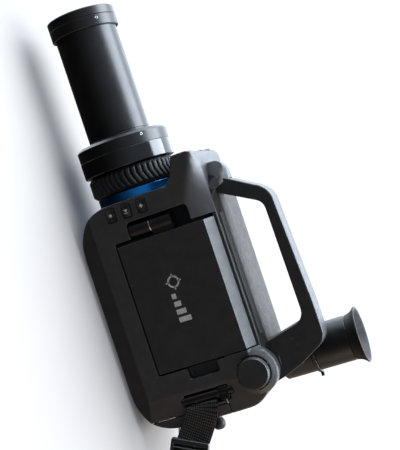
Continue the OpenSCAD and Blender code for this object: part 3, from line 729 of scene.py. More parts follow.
def strap_stations():
    """The webbing from its free end at the slider to its end at the front lug."""
    outer = [
        ((47.3, 83.8, 56.0), (1, -.15, 0)), ((48.0, 88, 53.7), (1, 0, 0)),
        ((48.3, 92, 51.2), (1, 0, 0)), ((48.5, 96, 48.4), (1, 0, 0)),
        ((49.0, 102.5, 43.6), (1, 0, 0)),
        ((50.5, 107.6, 39.6), (1, 0, 0)), ((50.0, 112.6, 35.8), (1, 0, 0)),
        ((50.2, 119, 29.6), (.95, 0, .3)), ((49.4, 125, 21.8), (.75, .1, .65)),
        ((47.2, 130, 13.6), (.5, .3, .8)), ((42.2, 134.5, 6.9), (.25, .25, .94)),
        ((34, 137.5, 2.6), (.1, .1, 1)),
    ]
    outer = [(Vector(point), Vector(facing).normalized()) for point, facing in outer]
    lift = STRAP_THICK + 0.15
    tail = [(point - facing * lift, -facing) for point, facing in outer[7:1:-1]]
    tail.append((Vector((45.3, 83.6, 56.2)), Vector((-0.8, 0.5, 0))))
    pin = Vector((LOOP_PIN[0], LOOP_PIN[1], 57.0))
    reach = LOOP_PIN_R + STRAP_THICK / 2
    behind = [(Vector((42.6, LOOP_PIN[1] + reach, 56.8)), Vector((0, 1, 0)))]
    fold = turn_round(pin, Vector((1, 0, 0)), Vector((0, 1, 0)), reach, 90, 270, 6)
    front = [
        (Vector((42.6, LOOP_PIN[1] - reach, 57.0)), Vector((0, -1, 0))),
        (Vector((45.6, LOOP_PIN[1] - reach + 0.7, 56.8)), Vector((0.5, -0.85, 0))),
    ]
    floor_run = [
        (23, 139.5, 0.8), (8, 140.5, 0.7), (-8, 140, 0.7), (-23, 137.5, 0.7), (-36, 133, 0.7),
        (-47, 126, 0.7), (-56, 117, 0.7), (-62.5, 107, 0.7), (-66.5, 97, 0.7), (-68.5, 88.5, 0.7),
    ]
    up = Vector((0, 0, 1))
    laid = [(Vector(p), up) for p in floor_run]
    return tail + behind + fold + front + outer + laid + bundle_stations() + lug_stations()


def bundle_stations():
    """Layers folded to and fro beside the camera, under the tie."""
    low, high = span("strap_bundle")
    middle = (low.x + high.x - 0.4) / 2
    up = Vector((0, 0, 1))
    rise = (high.z - 1.0 - STRAP_THICK) / (FOLDS - 1)
    stations = []
    for layer in range(FOLDS):
        height = 0.7 + rise * layer
        away = layer % 2 == 0
        near, far = (high.y - 4, low.y + 3.2)
        ends = (near, far) if away else (far, near)
        for k in range(7):
            y = ends[0] + (ends[1] - ends[0]) * k / 6
            stations.append((Vector((middle, y, height)), up if away else -up))
        if layer < FOLDS - 1:
            side = Vector((0, -1 if away else 1, 0))
            pivot = Vector((middle, ends[1], height + rise / 2))
            for point, facing in turn_round(pivot, side, up, rise / 2, -60, 60, 4):
                stations.append((point, -facing))
    return stations


def lug_stations():
    """Up from the bundle, over the bar of the front lug and down to where it is sewn."""
    rising = [
        ((-69, -58, 8.6), (-.1, -.05, 1)), ((-68, -64, 11.5), (-.35, -.25, .9)),
        ((-65, -68, 18), (-.75, -.3, .6)), ((-60.5, -69.6, 27), (-.92, -.1, .35)),
        ((-56.5, -70, 38), (-.97, 0, .25)), ((-54.2, -70, 49), (-.99, 0, .12)),
        ((-53.4, -70, 58), (-1, 0, 0)),
    ]
    pivot = Vector((-50.5, -70, 62))
    west = Vector((-1, 0, 0))
    stations = [(Vector(p), Vector(f)) for p, f in rising]
    stations += turn_round(pivot, west, Vector((0, 0, 1)), 2.2 + STRAP_THICK / 2, 0, 180)
    falling = [
        ((-47.9, -70, 56), (1, 0, 0)), ((-49.4, -70, 50), (.97, 0, -.2)),
        ((-52.2, -70, 44.5), (.95, 0, -.3)), ((-54.1, -70, 39), (.97, 0, -.25)),
        ((-56.6, -69.8, 31.5), (.95, .05, -.3)),
    ]
    return stations + [(Vector(p), Vector(f)) for p, f in falling]


def ribbon(name, stations, width, thickness, step, columns=10):
    """Webbing with rounded edges along a route, with its weave's UV map in millimetres."""
    route = smooth_route(stations, step)
    section = []
    for k in range(columns + 1):
        u = k / columns - 0.5
        crown = thickness / 2 * (1 - max(0.0, (abs(u) - 0.42) / 0.08) ** 2 * 0.75)
        section.append((u * width, crown))
    section += [(u, -crown) for u, crown in reversed(section)]
    builder = bmesh.new()
    weave = builder.loops.layers.uv.new("weave")
    rings = []
    for i, (point, facing) in enumerate(route):
        ahead = route[min(i + 1, len(route) - 1)][0] - route[max(i - 1, 0)][0]
        ahead.normalize()
        across = facing.cross(ahead).normalized()
        normal = ahead.cross(across)
        rings.append([builder.verts.new(point + across * u + normal * v) for u, v in section])
    count = len(section)
    for i in range(len(rings) - 1):
        for k in range(count):
            n = (k + 1) % count
            corners = ((i, k), (i, n), (i + 1, n), (i + 1, k))
            face = builder.faces.new([rings[a][b] for a, b in corners])
            for loop, (a, b) in zip(face.loops, corners):
                loop[weave].uv = (section[b][0], a * step)
    builder.faces.new(rings[0])
    builder.faces.new(list(reversed(rings[-1])))
    return mesh_from(builder, name)


def make_strap():
    webbing = piece(
        "strap_webbing", ribbon("strap_webbing", strap_stations(), STRAP_WIDTH, STRAP_THICK, 1.1),
        "root", "webbing", WEBBING, "strap_rear_run", "strap_bundle", "strap_front_run",
        smooth_angle=80,
    )
    slider = make_slider()
    tie = make_tie()


def make_slider():
    """Tri-glide buckle: a frame with two windows either side of a middle bar."""
    builder = bmesh.new()
    tilt = Matrix.Rotation(radians(-25), 4, "X") @ Matrix.Rotation(radians(-4), 4, "Z")
    seat = Matrix.Translation((49.4, 109.6, 37.6)) @ tilt

    def place(u, v, along):
        return seat @ Vector((along, u, v))

    for edge, reach in ((-4.5, 4.2), (0.3, 1.6), (4.5, 4.2)):
        add_prism(builder, rounded_rectangle(reach, 28, 0.9, 4, (edge, 0)), place, 0.9, 4.2, 1.0)
    for side in (-13.6, 13.6):
        add_prism(builder, rounded_rectangle(12.8, 3.0, 1.4, 4, (0, side)), place, -2.0, 4.0, 1.0)
    for edge in (-4.5, 4.5):
        add_prism(builder, rounded_rectangle(2.8, 28, 0.6, 3, (edge, 0)), place, -2.6, -1.2, 0.4)
    mesh = melted("strap_tri_glide", [mesh_from(builder, "slider")], 0.22, 3, 0.35)
    return piece("strap_tri_glide", mesh, "root", "slider_plastic", BUCKLE, "strap_slider")


def make_tie():
    """Hook-and-loop band round the folded webbing."""
    low, high = span("strap_tie")
    wide = (high.x - low.x) / 2
    middle = (low.x + high.x) / 2
    builder = bmesh.new()

    def place(u, v, along):
        return Vector((u, along, v))

    outer = rounded_rectangle(2 * wide, high.z - low.z, 2.2, 6, (middle, (low.z + high.z) / 2))
    inner = rounded_rectangle(2 * wide - 1.3, high.z - low.z - 1.0, 1.8, 6, (middle, (low.z + high.z) / 2))
    rings = []
    for outline, y in ((outer, low.y), (outer, high.y), (inner, high.y), (inner, low.y)):
        rings.append([builder.verts.new(place(u, v, y)) for u, v in outline])
    for i in range(4):
        a, b = rings[i], rings[(i + 1) % 4]
        for k in range(len(a)):
            n = (k + 1) % len(a)
            builder.faces.new((a[k], a[n], b[n], b[k]))
    mesh = mesh_from(builder, "strap_band")
    return piece("strap_band", mesh, "root", "webbing", SOFT_BLACK, "strap_tie")


# ---------------------------------------------------------------- body

def ear_and_filler():
    """The round ear that carries the viewfinder's shaft, and the shell that it grows out of."""
    low, high = span("pivot_boss")
    radius = (high.y - low.y) / 2
    middle = ((low.y + high.y) / 2, high.z - radius)
    slope = 4.2
    builder = bmesh.new()
    profile = [(0, low.x), (radius, low.x), (radius, high.x - slope), (13.2, high.x), (0, high.x)]
    add_lathe(builder, softened(profile, 0.6), about_x(*middle), 96)
    ear = mesh_from(builder, "ear")
    builder = bmesh.new()
    side = [(low.x, low.z - 0.3), (high.x, low.z - 0.3), (high.x, 104), (36, 113), (low.x, 113)]
    add_prism(builder, side, on_y, low.y - 0.3, middle[0] + 1, 0)
    upright = mesh_from(builder, "upright")
    builder = bmesh.new()
    bevel = (high.x - 3.0, high.y + 0.3)
    plan = [(low.x, low.y), (high.x, low.y), (high.x, 67.3), bevel, (low.x, high.y + 0.3)]
    add_prism(builder, plan, on_z, low.z - 0.3, middle[1], 0)
    lower = mesh_from(builder, "lower")
    return [ear, upright, lower]


SHOULDER_REAR = -57.2
SHOULDER_FRONT = -107.5


def shoulder_filler():
    """Solid front shoulder of the side cover, before its long facet is cut."""
    low, high = span("left_cover")
    builder = bmesh.new()
    rim = [
        (SHOULDER_REAR, 95.3), (SHOULDER_REAR, 113), (SHOULDER_FRONT + 6, 113),
        (SHOULDER_FRONT + 1.8, 111.2), (SHOULDER_FRONT, 107), (SHOULDER_FRONT, 95),
        (-92, 89), (-74, 89), (-74, 95.3),
    ]
    add_prism(builder, rim, on_x, low.x + 0.2, high.x, 0)
    return mesh_from(builder, "shoulder")


def cut_facet(mesh):
    """Shapes the long facet on the shoulder: narrow at the front and wide at the display."""
    for vertex in mesh.vertices:
        x, y, z = vertex.co / MM
        if y > SHOULDER_REAR + 0.5 or z < 80:
            continue
        along = max(0.0, min(1.0, (y - SHOULDER_FRONT - 6) / 36))
        start = 109.5 - 23 * along
        if z > start:
            limit = 46.3 - 10.3 * ((z - start) / (113.4 - start)) ** 1.7
            vertex.co.x = min(x, limit) * MM


def soften_only(mesh, rounds, inside):
    """Relaxes the part of a mesh for which inside(x, y, z) is true."""
    builder = bmesh.new()
    builder.from_mesh(mesh)
    chosen = [v for v in builder.verts if inside(*(v.co / MM))]
    for _ in range(rounds):
        bmesh.ops.smooth_vert(
            builder, verts=chosen, factor=0.5, use_axis_x=True, use_axis_y=True, use_axis_z=True
        )
    builder.to_mesh(mesh)
    builder.free()


def round_front_top(mesh, radius):
    """Rounds the upper front edge of the housing."""
    top = span("housing_main")[1].z
    middle = Vector((SHOULDER_FRONT + radius, top - radius))
    for vertex in mesh.vertices:
        away = Vector((vertex.co.y / MM - middle.x, vertex.co.z / MM - middle.y))
        if away.x < 0 < away.y and away.length > radius:
            away = away.normalized() * radius
            vertex.co.y = (middle.x + away.x) * MM
            vertex.co.z = (middle.y + away.y) * MM


def sink_seam(mesh):
    """Lowers the housing's edge along the shoulder, so that the seam shows as a dark line."""
    top = span("housing_main")[1]
    for vertex in mesh.vertices:
        x, y, z = vertex.co / MM
        if y < SHOULDER_REAR and x > top.x - 1.0 and z > top.z - 3:
            vertex.co.z -= 0.8 * MM


def cut_cap_seat(mesh):
    """Sinks a round seat for the pivot cap into the ear, a little wider than the cap."""
    low, high = span("vf_pivot_cap")
    middle = (low + high) / 2
    rim = (high.y - low.y) / 2 + 0.95
    ear = span("pivot_boss")[1].x
    for vertex in mesh.vertices:
        x, y, z = vertex.co / MM
        if x < ear - 3:
            continue
        away = Vector((y - middle.y, z - middle.z))
        if away.length < rim + 0.4:
            if away.length > rim - 0.5:
                away = away.normalized() * rim
                vertex.co.y = (middle.y + away.x) * MM
                vertex.co.z = (middle.z + away.y) * MM
            if away.length < rim:
                vertex.co.x = min(x, ear - 1.3) * MM


def make_body():
    shell = melted("housing_shell", [cad_mesh("housing_main")], 0.6, 8, 0.22)
    round_front_top(shell, 9.0)
    soften_only(shell, 20, lambda x, y, z: y < -90 and z > 96)
    sink_seam(shell)
    piece("housing_shell", shell, "root", "housing", CHARCOAL, "housing_main", smooth_angle=80)
    parts = [cad_mesh("left_cover"), shoulder_filler()] + ear_and_filler()
    cover = melted("side_cover", parts, 0.5, 5, 0.3)
    cut_facet(cover)
    soften_only(cover, 8, lambda x, y, z: y < SHOULDER_REAR - 2 and z > 80 and x > 38.5)
    soften_only(cover, 12, lambda x, y, z: y > 52 and z > 84 and x > 37)
    cut_cap_seat(cover)
    piece("side_cover", cover, "root", "housing", COVER, "left_cover", "pivot_boss", smooth_angle=80)
    ridge = cad_mesh("top_spine").copy()
    stretch_ends(ridge, -60, -9, 44, 6)
    spine = melted("spine_ridge", [ridge], 0.4, 8, 0.3)
    piece("spine_ridge", spine, "root", "housing", RIDGE, "top_spine", smooth_angle=80)
    bezel = melted("front_bezel", [cad_mesh("front_bezel")], 0.5, 5, 0.3)
    round_front_top(bezel, 9.0)
    piece("front_bezel", bezel, "root", "housing", CHARCOAL, "front_bezel", smooth_angle=80)
    dress("base_plate", POWDER, 0.3)
    dress("tripod_socket", STEEL, 0.2)
    door = melted("battery_hatch", [cad_mesh("battery_door")], 0.5, 3, 0.25)
    piece("battery_hatch", door, "door", "housing", CHARCOAL, "battery_door", smooth_angle=80)
    # A dark plate on the door's inner side. It has no CAD node, and the photo shows nothing like it.
    # It was meant to hide the slot along the door's bottom edge, which is a fault in the CAD.
    # Painted shade: the dark plate stands in for the shade in the slot, so that the seam reads as a dark
    # line.
    low, high = span("battery_door")
    plate_low = (low.x + 8, low.y - 0.42, low.z + 3)
    plate_high = (high.x - 8, low.y + 0.5, high.z - 5)
    builder = bmesh.new()
    add_block(builder, plate_low, plate_high, 0.1)
    piece("hatch_shade_plate", mesh_from(builder, "hatch_shade_plate"), "door", "housing", SOFT_BLACK)
    dress("door_hinge_pin", STEEL, 0.15)
    make_label()
    make_seam_ribs()
    make_recess_pin()


def stretch_ends(mesh, front, forward, rear, backward):
    """Moves what is ahead of front, or behind rear, along Y."""
    for vertex in mesh.vertices:
        if vertex.co.y < front * MM:
            vertex.co.y += forward * MM
        elif vertex.co.y > rear * MM:
            vertex.co.y += backward * MM


def make_label():
    """Plain label in the seat along the ridge."""
    builder = bmesh.new()
    seat = Matrix.Translation((30.6, -6, 115.9)) @ Matrix.Rotation(radians(38), 4, "Y")

    def place(u, v, along):
        return seat @ Vector((u, v, along))

    add_prism(builder, rounded_rectangle(4.5, 98, 0.8), place, -0.7, -0.15, 0.12)
    piece("spine_label", mesh_from(builder, "spine_label"), "root", "housing", LABEL)


def make_seam_ribs():
    """Fine upright ribs along the shell's edge above the display."""
    low, high = span("display_cover")
    builder = bmesh.new()
    pitch = 1.7
    for k in range(int((high.y - low.y) / pitch)):
        y = low.y + 0.9 + k * pitch
        add_block(builder, (35.7, y, 110.9), (36.55, y + 0.9, 112.5), 0.2)
    piece("seam_ribs", mesh_from(builder, "seam_ribs"), "root", "housing", CHARCOAL)


def make_recess_pin():
    """Bright spring pin that locks the strap bar at its upper end."""
    profile = [(0, 81.4), (0.55, 81.4), (0.55, 85.0), (0, 85.0)]
    mesh = lathe("strap_lock_pin", profile, about_y(44.3, 76.2), 0.2, 24)
    piece("strap_lock_pin", mesh, "root", "steel_small", STEEL)


def make_front_windows():
    """The daylight camera and the aiming lamp in the front of the shoulder."""
    for node, slot, material, name in (
        ("visual_camera", "dark_glass", DARK_GLASS, "daylight_camera"),
        ("target_lamp", "lamp_glass", LAMP, "aiming_lamp"),
    ):
        low, high = span(node)
        middle = (low + high) / 2
        radius = (high.x - low.x) / 2
        place = about_y(middle.x, middle.z)
        rim = [
            (radius - 1.1, low.y), (radius, low.y), (radius, high.y),
            (radius - 1.6, high.y), (radius - 1.6, low.y + 2.4),
        ]
        piece(name + "_rim", lathe(name + "_rim", rim, place, 0.25, 64), "root", "knob", SOFT_BLACK)
        bulge = [((radius - 1.65) * k / 6, low.y + 1.6 + 0.9 * (k / 6) ** 2) for k in range(7)]
        lens = bulge + [(radius - 1.65, low.y + 5), (0, low.y + 5)]
        builder = bmesh.new()
        add_lathe(builder, lens, place, 64)
        piece(name, mesh_from(builder, name), "root", slot, material, node)


# ---------------------------------------------------------------- lens

def make_lens():
    low, high = span("lens_tube")
    place = about_y((low.x + high.x) / 2, (low.z + high.z) / 2)
    tube_r = (high.x - low.x) / 2
    rear = high.y
    ring_low, ring_high = span("lens_front_ring")
    ring_r = (ring_high.x - ring_low.x) / 2
    front = ring_low.y
    back = ring_high.y

    def add(name, profile, node, material=LACQUER, slot="lens_black", rounding=0.35, **more):
        piece(name, lathe(name, profile, place, rounding, **more), "root", slot, material, node)

    threads = []
    thread_step = 0.35
    thread_pitch = 0.7
    for k in range(5):
        threads += [
            (ring_r - 2.5 - thread_step * k, front + 0.4 + thread_pitch * k),
            (ring_r - 2.2 - thread_step * k, front + 0.75 + thread_pitch * k),
        ]
    add("front_ring", [
        (ring_r - 4.0, back), (ring_r - 0.4, back), (ring_r, back - 0.5),
        (ring_r, back - 8.3), (ring_r - 0.5, back - 8.5), (ring_r - 0.5, back - 8.8),
        (ring_r, back - 9.0), (ring_r, front + 0.7), (ring_r - 0.8, front),
        (ring_r - 1.9, front),
    ] + threads + [
        (ring_r - 4.45, front + 4.4), (ring_r - 4.45, back - 4), (ring_r - 4.0, back - 4),
    ], "lens_front_ring", rounding=0.25)
    add("long_tube", [
        (22, low.y), (tube_r - 1.6, low.y), (tube_r - 1.6, low.y + 4), (tube_r, low.y + 4),
        (tube_r, rear - 5.2), (tube_r - 0.25, rear - 5.0), (tube_r - 0.25, rear - 4.4),
        (tube_r, rear - 4.2), (tube_r, rear), (22, rear),
    ], "lens_tube", rounding=0.2)
    low, high = span("lens_adapter_front")
    wide = (high.x - low.x) / 2
    start = low.y
    end = high.y
    add("adapter_front", [
        (22, start + 3), (tube_r + 0.05, start + 3), (tube_r + 0.05, start), (30, start),
        (wide - 3, start + 0.8), (wide - 0.15, start + 3), (wide - 0.15, end - 0.25),
        (wide - 0.4, end), (22, end),
    ], "lens_adapter_front")
    low, high = span("lens_adapter_rear")
    start = low.y
    end = high.y
    add("adapter_rear", [
        (26, start), (wide - 0.25, start), (wide, start + 0.25), (wide, end - 1.3),
        (wide - 0.6, end - 0.8), (33, end - 0.6), (32, end - 0.3), (32, end), (30.05, end),
        (30.05, start + 6), (26, start + 6),
    ], "lens_adapter_rear", GLOSS)
    low, high = span("blue_ring")
    wide = (high.x - low.x) / 2
    add("blue_band", [
        (30.05, low.y), (wide - 0.8, low.y), (wide, low.y + 0.8), (wide, high.y - 0.8),
        (wide - 0.4, high.y), (30.05, high.y),
    ], "blue_ring", BLUE, "blue_anodised")
    dress("lens_barrel", LACQUER, 0.2)
    make_grub_screws()
    make_element("front_element", "germanium", GERMANIUM, 3.0, place)
    make_element("rear_element", "germanium", GERMANIUM, 2.5, place)
    make_focus_ring(place)


def make_grub_screws():
    """Two small socket screws that lock the front ring and the adapter, seen on the lens."""
    rims = bmesh.new()
    cores = bmesh.new()
    slant = radians(43)
    out = Vector((cos(slant), 0, sin(slant)))
    side = Vector((-sin(slant), 0, cos(slant)))
    for node, inset in (("lens_front_ring", 10.2), ("lens_adapter_front", 5.3)):
        low, high = span(node)
        reach = (high.x - low.x) / 2
        seat = Vector(((low.x + high.x) / 2, low.y + inset, (low.z + high.z) / 2))

        def place(r, along, a):
            return seat + out * (reach + along) + (side * cos(a) + Vector((0, sin(a), 0))) * r

        rim = [(0.72, -0.4), (1.1, -0.4), (1.1, 0.04), (0.95, 0.1), (0.72, 0.04)]
        add_lathe(rims, rim, place, 32)
        core = [(0, -0.5), (0.74, -0.5), (0.74, 0.0), (0.42, 0.0), (0.3, -0.25), (0, -0.25)]
        add_lathe(cores, core, place, 24)
    rim_mesh = mesh_from(rims, "grub_rims")
    piece("grub_rims", rim_mesh, "root", "steel_small", STEEL, "lens_set_screws")
    piece("grub_cores", mesh_from(cores, "grub_cores"), "root", "steel_small", GLOSS)


def make_element(node, slot, material, bulge, place):
    """A lens with its convex face to the front."""
    low, high = span(node)
    radius = (high.x - low.x) / 2
    steps = 14
    dome = [(radius * k / steps, low.y + bulge * (k / steps) ** 2) for k in range(steps + 1)]
    builder = bmesh.new()
    add_lathe(builder, dome + [(radius, high.y), (0, high.y)], place, 128)
    piece(node + "_glass", mesh_from(builder, node), "root", slot, material, node)


def make_focus_ring(place):
    """Rubber grip whose ribs run straight at the front and sweep aside towards the rear."""
    low, high = span("focus_ring")
    peak = (high.x - low.x) / 2
    foot = peak - 1.6
    ribs = 46
    per_rib = 12
    start = low.y + 0.6
    end = high.y - 0.6
    rows = 28
    profile = [(30.1, low.y), (foot - 0.3, low.y), (foot, low.y + 0.4)]
    profile += [(peak, start + (end - start) * k / rows) for k in range(rows + 1)]
    profile += [(foot, high.y - 0.4), (foot - 0.3, high.y), (30.1, high.y)]

    def shape(radius, along, angle):
        if radius < peak - 0.01:
            return radius
        t = (along - start) / (end - start)
        sweep = 1.3 * max(0.0, t - 0.45)
        phase = (angle / TURN * ribs - sweep) % 1.0
        ridge = min(1.0, 1.25 * sin(pi * phase)) ** 0.8
        rim = min(1.0, t * 9, (1 - t) * 9)
        return foot + 0.15 + (peak - foot - 0.15) * ridge * rim

    builder = bmesh.new()
    add_lathe(builder, profile, place, ribs * per_rib, shape)
    mesh = mesh_from(builder, "focus_grip")
    piece("focus_grip", mesh, "focus", "focus_rubber", RUBBER, "focus_ring", smooth_angle=50)


# ---------------------------------------------------------------- viewfinder

def make_viewfinder():
    low, high = span("vf_barrel_lower")
    wide = (high.x - low.x) / 2
    axis = ((low.x + high.x) / 2, (low.y + high.y) / 2)
    place = about_z(*axis)
    foot = low.z
    ring = high.z - 1.6

    def add(name, profile, body, slot, material, node, rounding=0.3, shape=None):
        mesh = lathe(name, profile, place, rounding, 128, shape)
        piece(name, mesh, body, slot, material, node)

    add("eyepiece_barrel", [
        (0, foot), (wide - 1.2, foot), (wide, foot + 1.2), (wide, foot + 3.2),
        (wide - 0.3, foot + 3.5), (wide - 0.3, foot + 4.1), (wide, foot + 4.4),
        (wide, ring - 1.7), (wide - 0.9, ring - 1.7), (wide - 0.9, ring + 1.6),
        (wide - 3.4, ring + 1.6), (wide - 3.4, foot + 4), (0, foot + 4),
    ], "viewfinder", "vf_plastic", SATIN, "vf_barrel_lower")
    low, high = span("vf_barrel_upper")
    mouth = high.z
    add("eyepiece_tube", [
        (wide - 3.4, low.z), (wide, low.z), (wide, mouth - 0.6), (wide - 0.5, mouth),
        (wide - 3.4, mouth),
    ], "viewfinder", "vf_plastic", SATIN, "vf_barrel_upper")
    make_eyecup(wide, mouth, place)
    low, high = span("vf_eye_lens")
    reach = (high.x - low.x) / 2
    crown = [(reach * k / 10, high.z - 2 * (k / 10) ** 2) for k in range(11)]
    builder = bmesh.new()
    add_lathe(builder, crown + [(reach, low.z), (0, low.z)], place, 96)
    piece("eye_lens", mesh_from(builder, "eye_lens"), "viewfinder", "dark_glass", EYE_GLASS, "vf_eye_lens")
    make_dioptre(axis, wide)
    low, high = span("vf_pivot_cap")
    middle = (low + high) / 2
    wide = (high.y - low.y) / 2
    cap = [
        (0, low.x), (wide + 0.5, low.x), (wide + 0.5, low.x + 0.6), (wide, high.x - 0.6),
        (wide - 0.5, high.x), (0, high.x),
    ]
    mesh = lathe("pivot_cap", cap, about_x(middle.y, middle.z), 0.5, 96)
    piece("pivot_cap", mesh, "viewfinder", "vf_plastic", PANEL, "vf_pivot_cap")
    hub = melted("pivot_hub", [cad_mesh("vf_hub")], 0.4, 3, 0.3)
    piece("pivot_hub", hub, "viewfinder", "vf_plastic", SATIN, "vf_hub", smooth_angle=80)
    dress("vf_shaft", STEEL, 0.2)
    dress("vf_microdisplay", DARK_GLASS, 0.2)


def make_eyecup(wide, mouth, place):
    """Flared rubber cup with shallow ribs inside it."""
    low, high = span("eyecup")
    lip = (high.x - low.x) / 2
    top = high.z
    outside = [
        (wide, mouth), (wide + 0.2, mouth + 1.0), (wide + 0.5, mouth + 2.4),
        (wide + 1.4, mouth + 4.6), (wide + 2.9, mouth + 6.7), (lip - 0.1, top - 1.1),
        (lip - 0.3, top - 0.2), (lip - 0.9, top), (lip - 1.6, top - 0.2),
    ]
    inside = []
    for k in range(6):
        t = k / 6
        radius = lip - 2.2 - (lip - 2.2 - (wide - 2.2)) * t
        height = top - 0.8 - (top - 0.8 - (mouth + 3)) * t
        inside += [(radius, height), (radius - 0.45, height - 0.5)]
    inside += [(wide - 3.8, mouth + 1.6), (wide - 3.8, mouth + 0.02)]
    mesh = lathe("rubber_eyecup", outside + inside, place, 0.3, 128)
    piece("rubber_eyecup", mesh, "viewfinder", "eyecup_rubber", KEY_RUBBER, "eyecup", smooth_angle=60)


def make_dioptre(axis, wide):
    """Ring that turns under its tab, with fine notches round its rim."""
    low, high = span("diopter_ring")
    notches = 60

    def shape(radius, along, angle):
        if radius < wide + 1:
            return radius
        return radius - 0.18 * (0.5 + 0.5 * cos(notches * angle))

    builder = bmesh.new()
    profile = [
        (wide - 0.8, low.z), (wide + 1.2, low.z), (wide + 1.5, low.z + 0.3),
        (wide + 1.5, high.z - 0.3), (wide + 1.2, high.z), (wide - 0.8, high.z),
    ]
    add_lathe(builder, softened(profile, 0.2), about_z(*axis), notches * 6, shape)
    tab_wide = 4.4
    tab_root = 0.4
    tab_long = high.y - axis[1] - wide + tab_root
    tab_middle = (high.y + axis[1] + wide - tab_root) / 2
    tab = rounded_rectangle(tab_wide, tab_long, 1.2, 4, (axis[0], tab_middle))
    add_prism(builder, tab, on_z, low.z + 0.05, high.z - 0.05, 0.35)
    mesh = mesh_from(builder, "dioptre_ring")
    piece("dioptre_ring", mesh, "diopter", "vf_plastic", SATIN, "diopter_ring")


# ---------------------------------------------------------------- handle

def taper(mesh, middle, share):
    """Draws a mesh in towards x = middle, by share(y, z) of its half width."""
    for vertex in mesh.vertices:
        x, y, z = vertex.co / MM
        vertex.co.x = (middle + (x - middle) * (1 - share(y, z))) * MM


def cut_wedge(mesh):
    """Slants the near side of the front collar, and of the leg in it, away towards the front."""
    for vertex in mesh.vertices:
        x, y, z = vertex.co / MM
        forward = -74 - y
        if forward > 0:
            face = 33 - 0.9 * forward + 0.5 * (z - 113)
            vertex.co.x = min(x, face, 33 - 0.35 * forward) * MM


def bevelled_bar(node):
    """The handle with wide soft edges along its top and narrow ones elsewhere."""
    low, high = span(node)
    builder = bmesh.new()
    builder.from_mesh(cad_mesh(node))
    bmesh.ops.remove_doubles(builder, verts=builder.verts, dist=1e-6)
    bmesh.ops.dissolve_limit(
        builder, angle_limit=radians(1), verts=builder.verts, edges=builder.edges
    )
    weights = builder.edges.layers.float.new("bevel_weight_edge")
    for edge in builder.edges:
        on_side = all(min(abs(v.co.x / MM - low.x), abs(v.co.x / MM - high.x)) < 0.01 for v in edge.verts)
        if not on_side or len(edge.link_faces) != 2:
            continue
        face = min(edge.link_faces, key=lambda f: abs(f.normal.x))
        middle = (edge.verts[0].co + edge.verts[1].co) / 2 / MM
        if face.normal.z > 0.3 and middle.y < 62 and middle.z > 135:
            edge[weights] = 0.8
        elif face.normal.y < -0.6 and middle.y > 38:
            edge[weights] = 1.0
        elif face.normal.z > 0.1 and middle.y < -55:
            edge[weights] = 0.8
        else:
            edge[weights] = 0.28
    mesh = bpy.data.meshes.new(node)
    builder.to_mesh(mesh)
    builder.free()
    obj = bpy.data.objects.new("bar", mesh)
    bpy.context.scene.collection.objects.link(obj)
    edges = obj.modifiers.new("edges", "BEVEL")
    edges.limit_method = "WEIGHT"
    edges.width = 5.5 * MM
    edges.segments = 5
    made = evaluated(obj)
    bpy.data.objects.remove(obj)
    return made


def make_handle():
    low, high = span("handle")
    middle = (low.x + high.x) / 2
    bar = melted("carrying_handle", [bevelled_bar("handle")], 0.5, 4, 0.3)
    taper(bar, middle, lambda y, z: 0.16 * max(0.0, min(1.0, (-48 - y) / 25)))
    cut_wedge(bar)
    piece("carrying_handle", bar, "root", "handle_plastic", GRIP, "handle", smooth_angle=80)
    low, high = span("handle_front_boss")
    tall = high.z - low.z
    collar = melted("handle_collar", [cad_mesh("handle_front_boss")], 0.4, 6, 0.35)
    taper(collar, middle, lambda y, z: (
        0.6 * max(0.0, (z - low.z - 7) / (tall - 7)) + 0.022 * max(0.0, low.y + 14 - y)
    ))
    cut_wedge(collar)
    soften_only(collar, 2, lambda x, y, z: True)
    piece("handle_collar", collar, "root", "handle_plastic", CHARCOAL, "handle_front_boss", smooth_angle=80)
    dress("handle_screws", STEEL, 0.1)


# ---------------------------------------------------------------- display

def make_display():
    cover = melted("display_lid", [cad_mesh("display_cover")], 0.4, 2, 0.25)
    low, high = span("display_cover")
    for vertex in cover.vertices:
        if vertex.co.y > (high.y - 2) * MM:
            vertex.co.y -= 0.6 * MM
        if vertex.co.z < (low.z + 2) * MM:
            vertex.co.z += 0.4 * MM
    piece("display_lid", cover, "display", "display_plastic", PANEL, "display_cover", smooth_angle=80)
    dress("display_bezel", SOFT_BLACK, 0.5)
    dress("display_glass", DARK_GLASS, 0.1)
    make_mark()
    make_hinge()


def make_mark():
    """A plain sighting mark and four bars printed on the lid."""
    low, high = span("display_cover")
    face = high.x
    builder = bmesh.new()
    middle = ((low.y + high.y) / 2, 66)

    sunk = face - 0.1
    raised = face + 0.06

    def strip(y, z, long, tall):
        add_prism(builder, rounded_rectangle(long, tall, 0.25, 3, (y, z)), on_x, sunk, raised)

    sight = (middle[0] - 14, middle[1])
    ring_place = about_x(*sight)
    ring_inner = 3.5
    ring_outer = 4.8
    ring = [(ring_inner, sunk), (ring_outer, sunk), (ring_outer, raised), (ring_inner, raised)]
    add_lathe(builder, ring, ring_place, 64)
    tick_long = 3.0
    tick_wide = 1.1
    for side in (-ring_outer, ring_outer):
        strip(sight[0] + side, sight[1], tick_long, tick_wide)
    for side in (-ring_outer, ring_outer):
        strip(sight[0], sight[1] + side, tick_wide, tick_long)
    for k, tall in enumerate((3.6, 5.6, 7.8, 10.0)):
        strip(middle[0] - 3 + 6.2 * k, middle[1] - 5 + tall / 2, 4.0, tall)
    piece("lid_mark", mesh_from(builder, "lid_mark"), "display", "display_plastic", MARK)


def make_hinge():
    dress("hinge_base", SOFT_BLACK, 0.5)
    dress("display_knuckle", SOFT_BLACK, 0.5)
    dress("hinge_washer", STEEL, 0.15)
    dress("hinge_pin", STEEL, 0.2)


# ---------------------------------------------------------------- buttons

def star(points, outer, inner):
    outline = []
    for k in range(2 * points):
        reach = inner if k % 2 else outer
        outline.append((reach * cos(pi * k / points), reach * sin(pi * k / points)))
    return outline


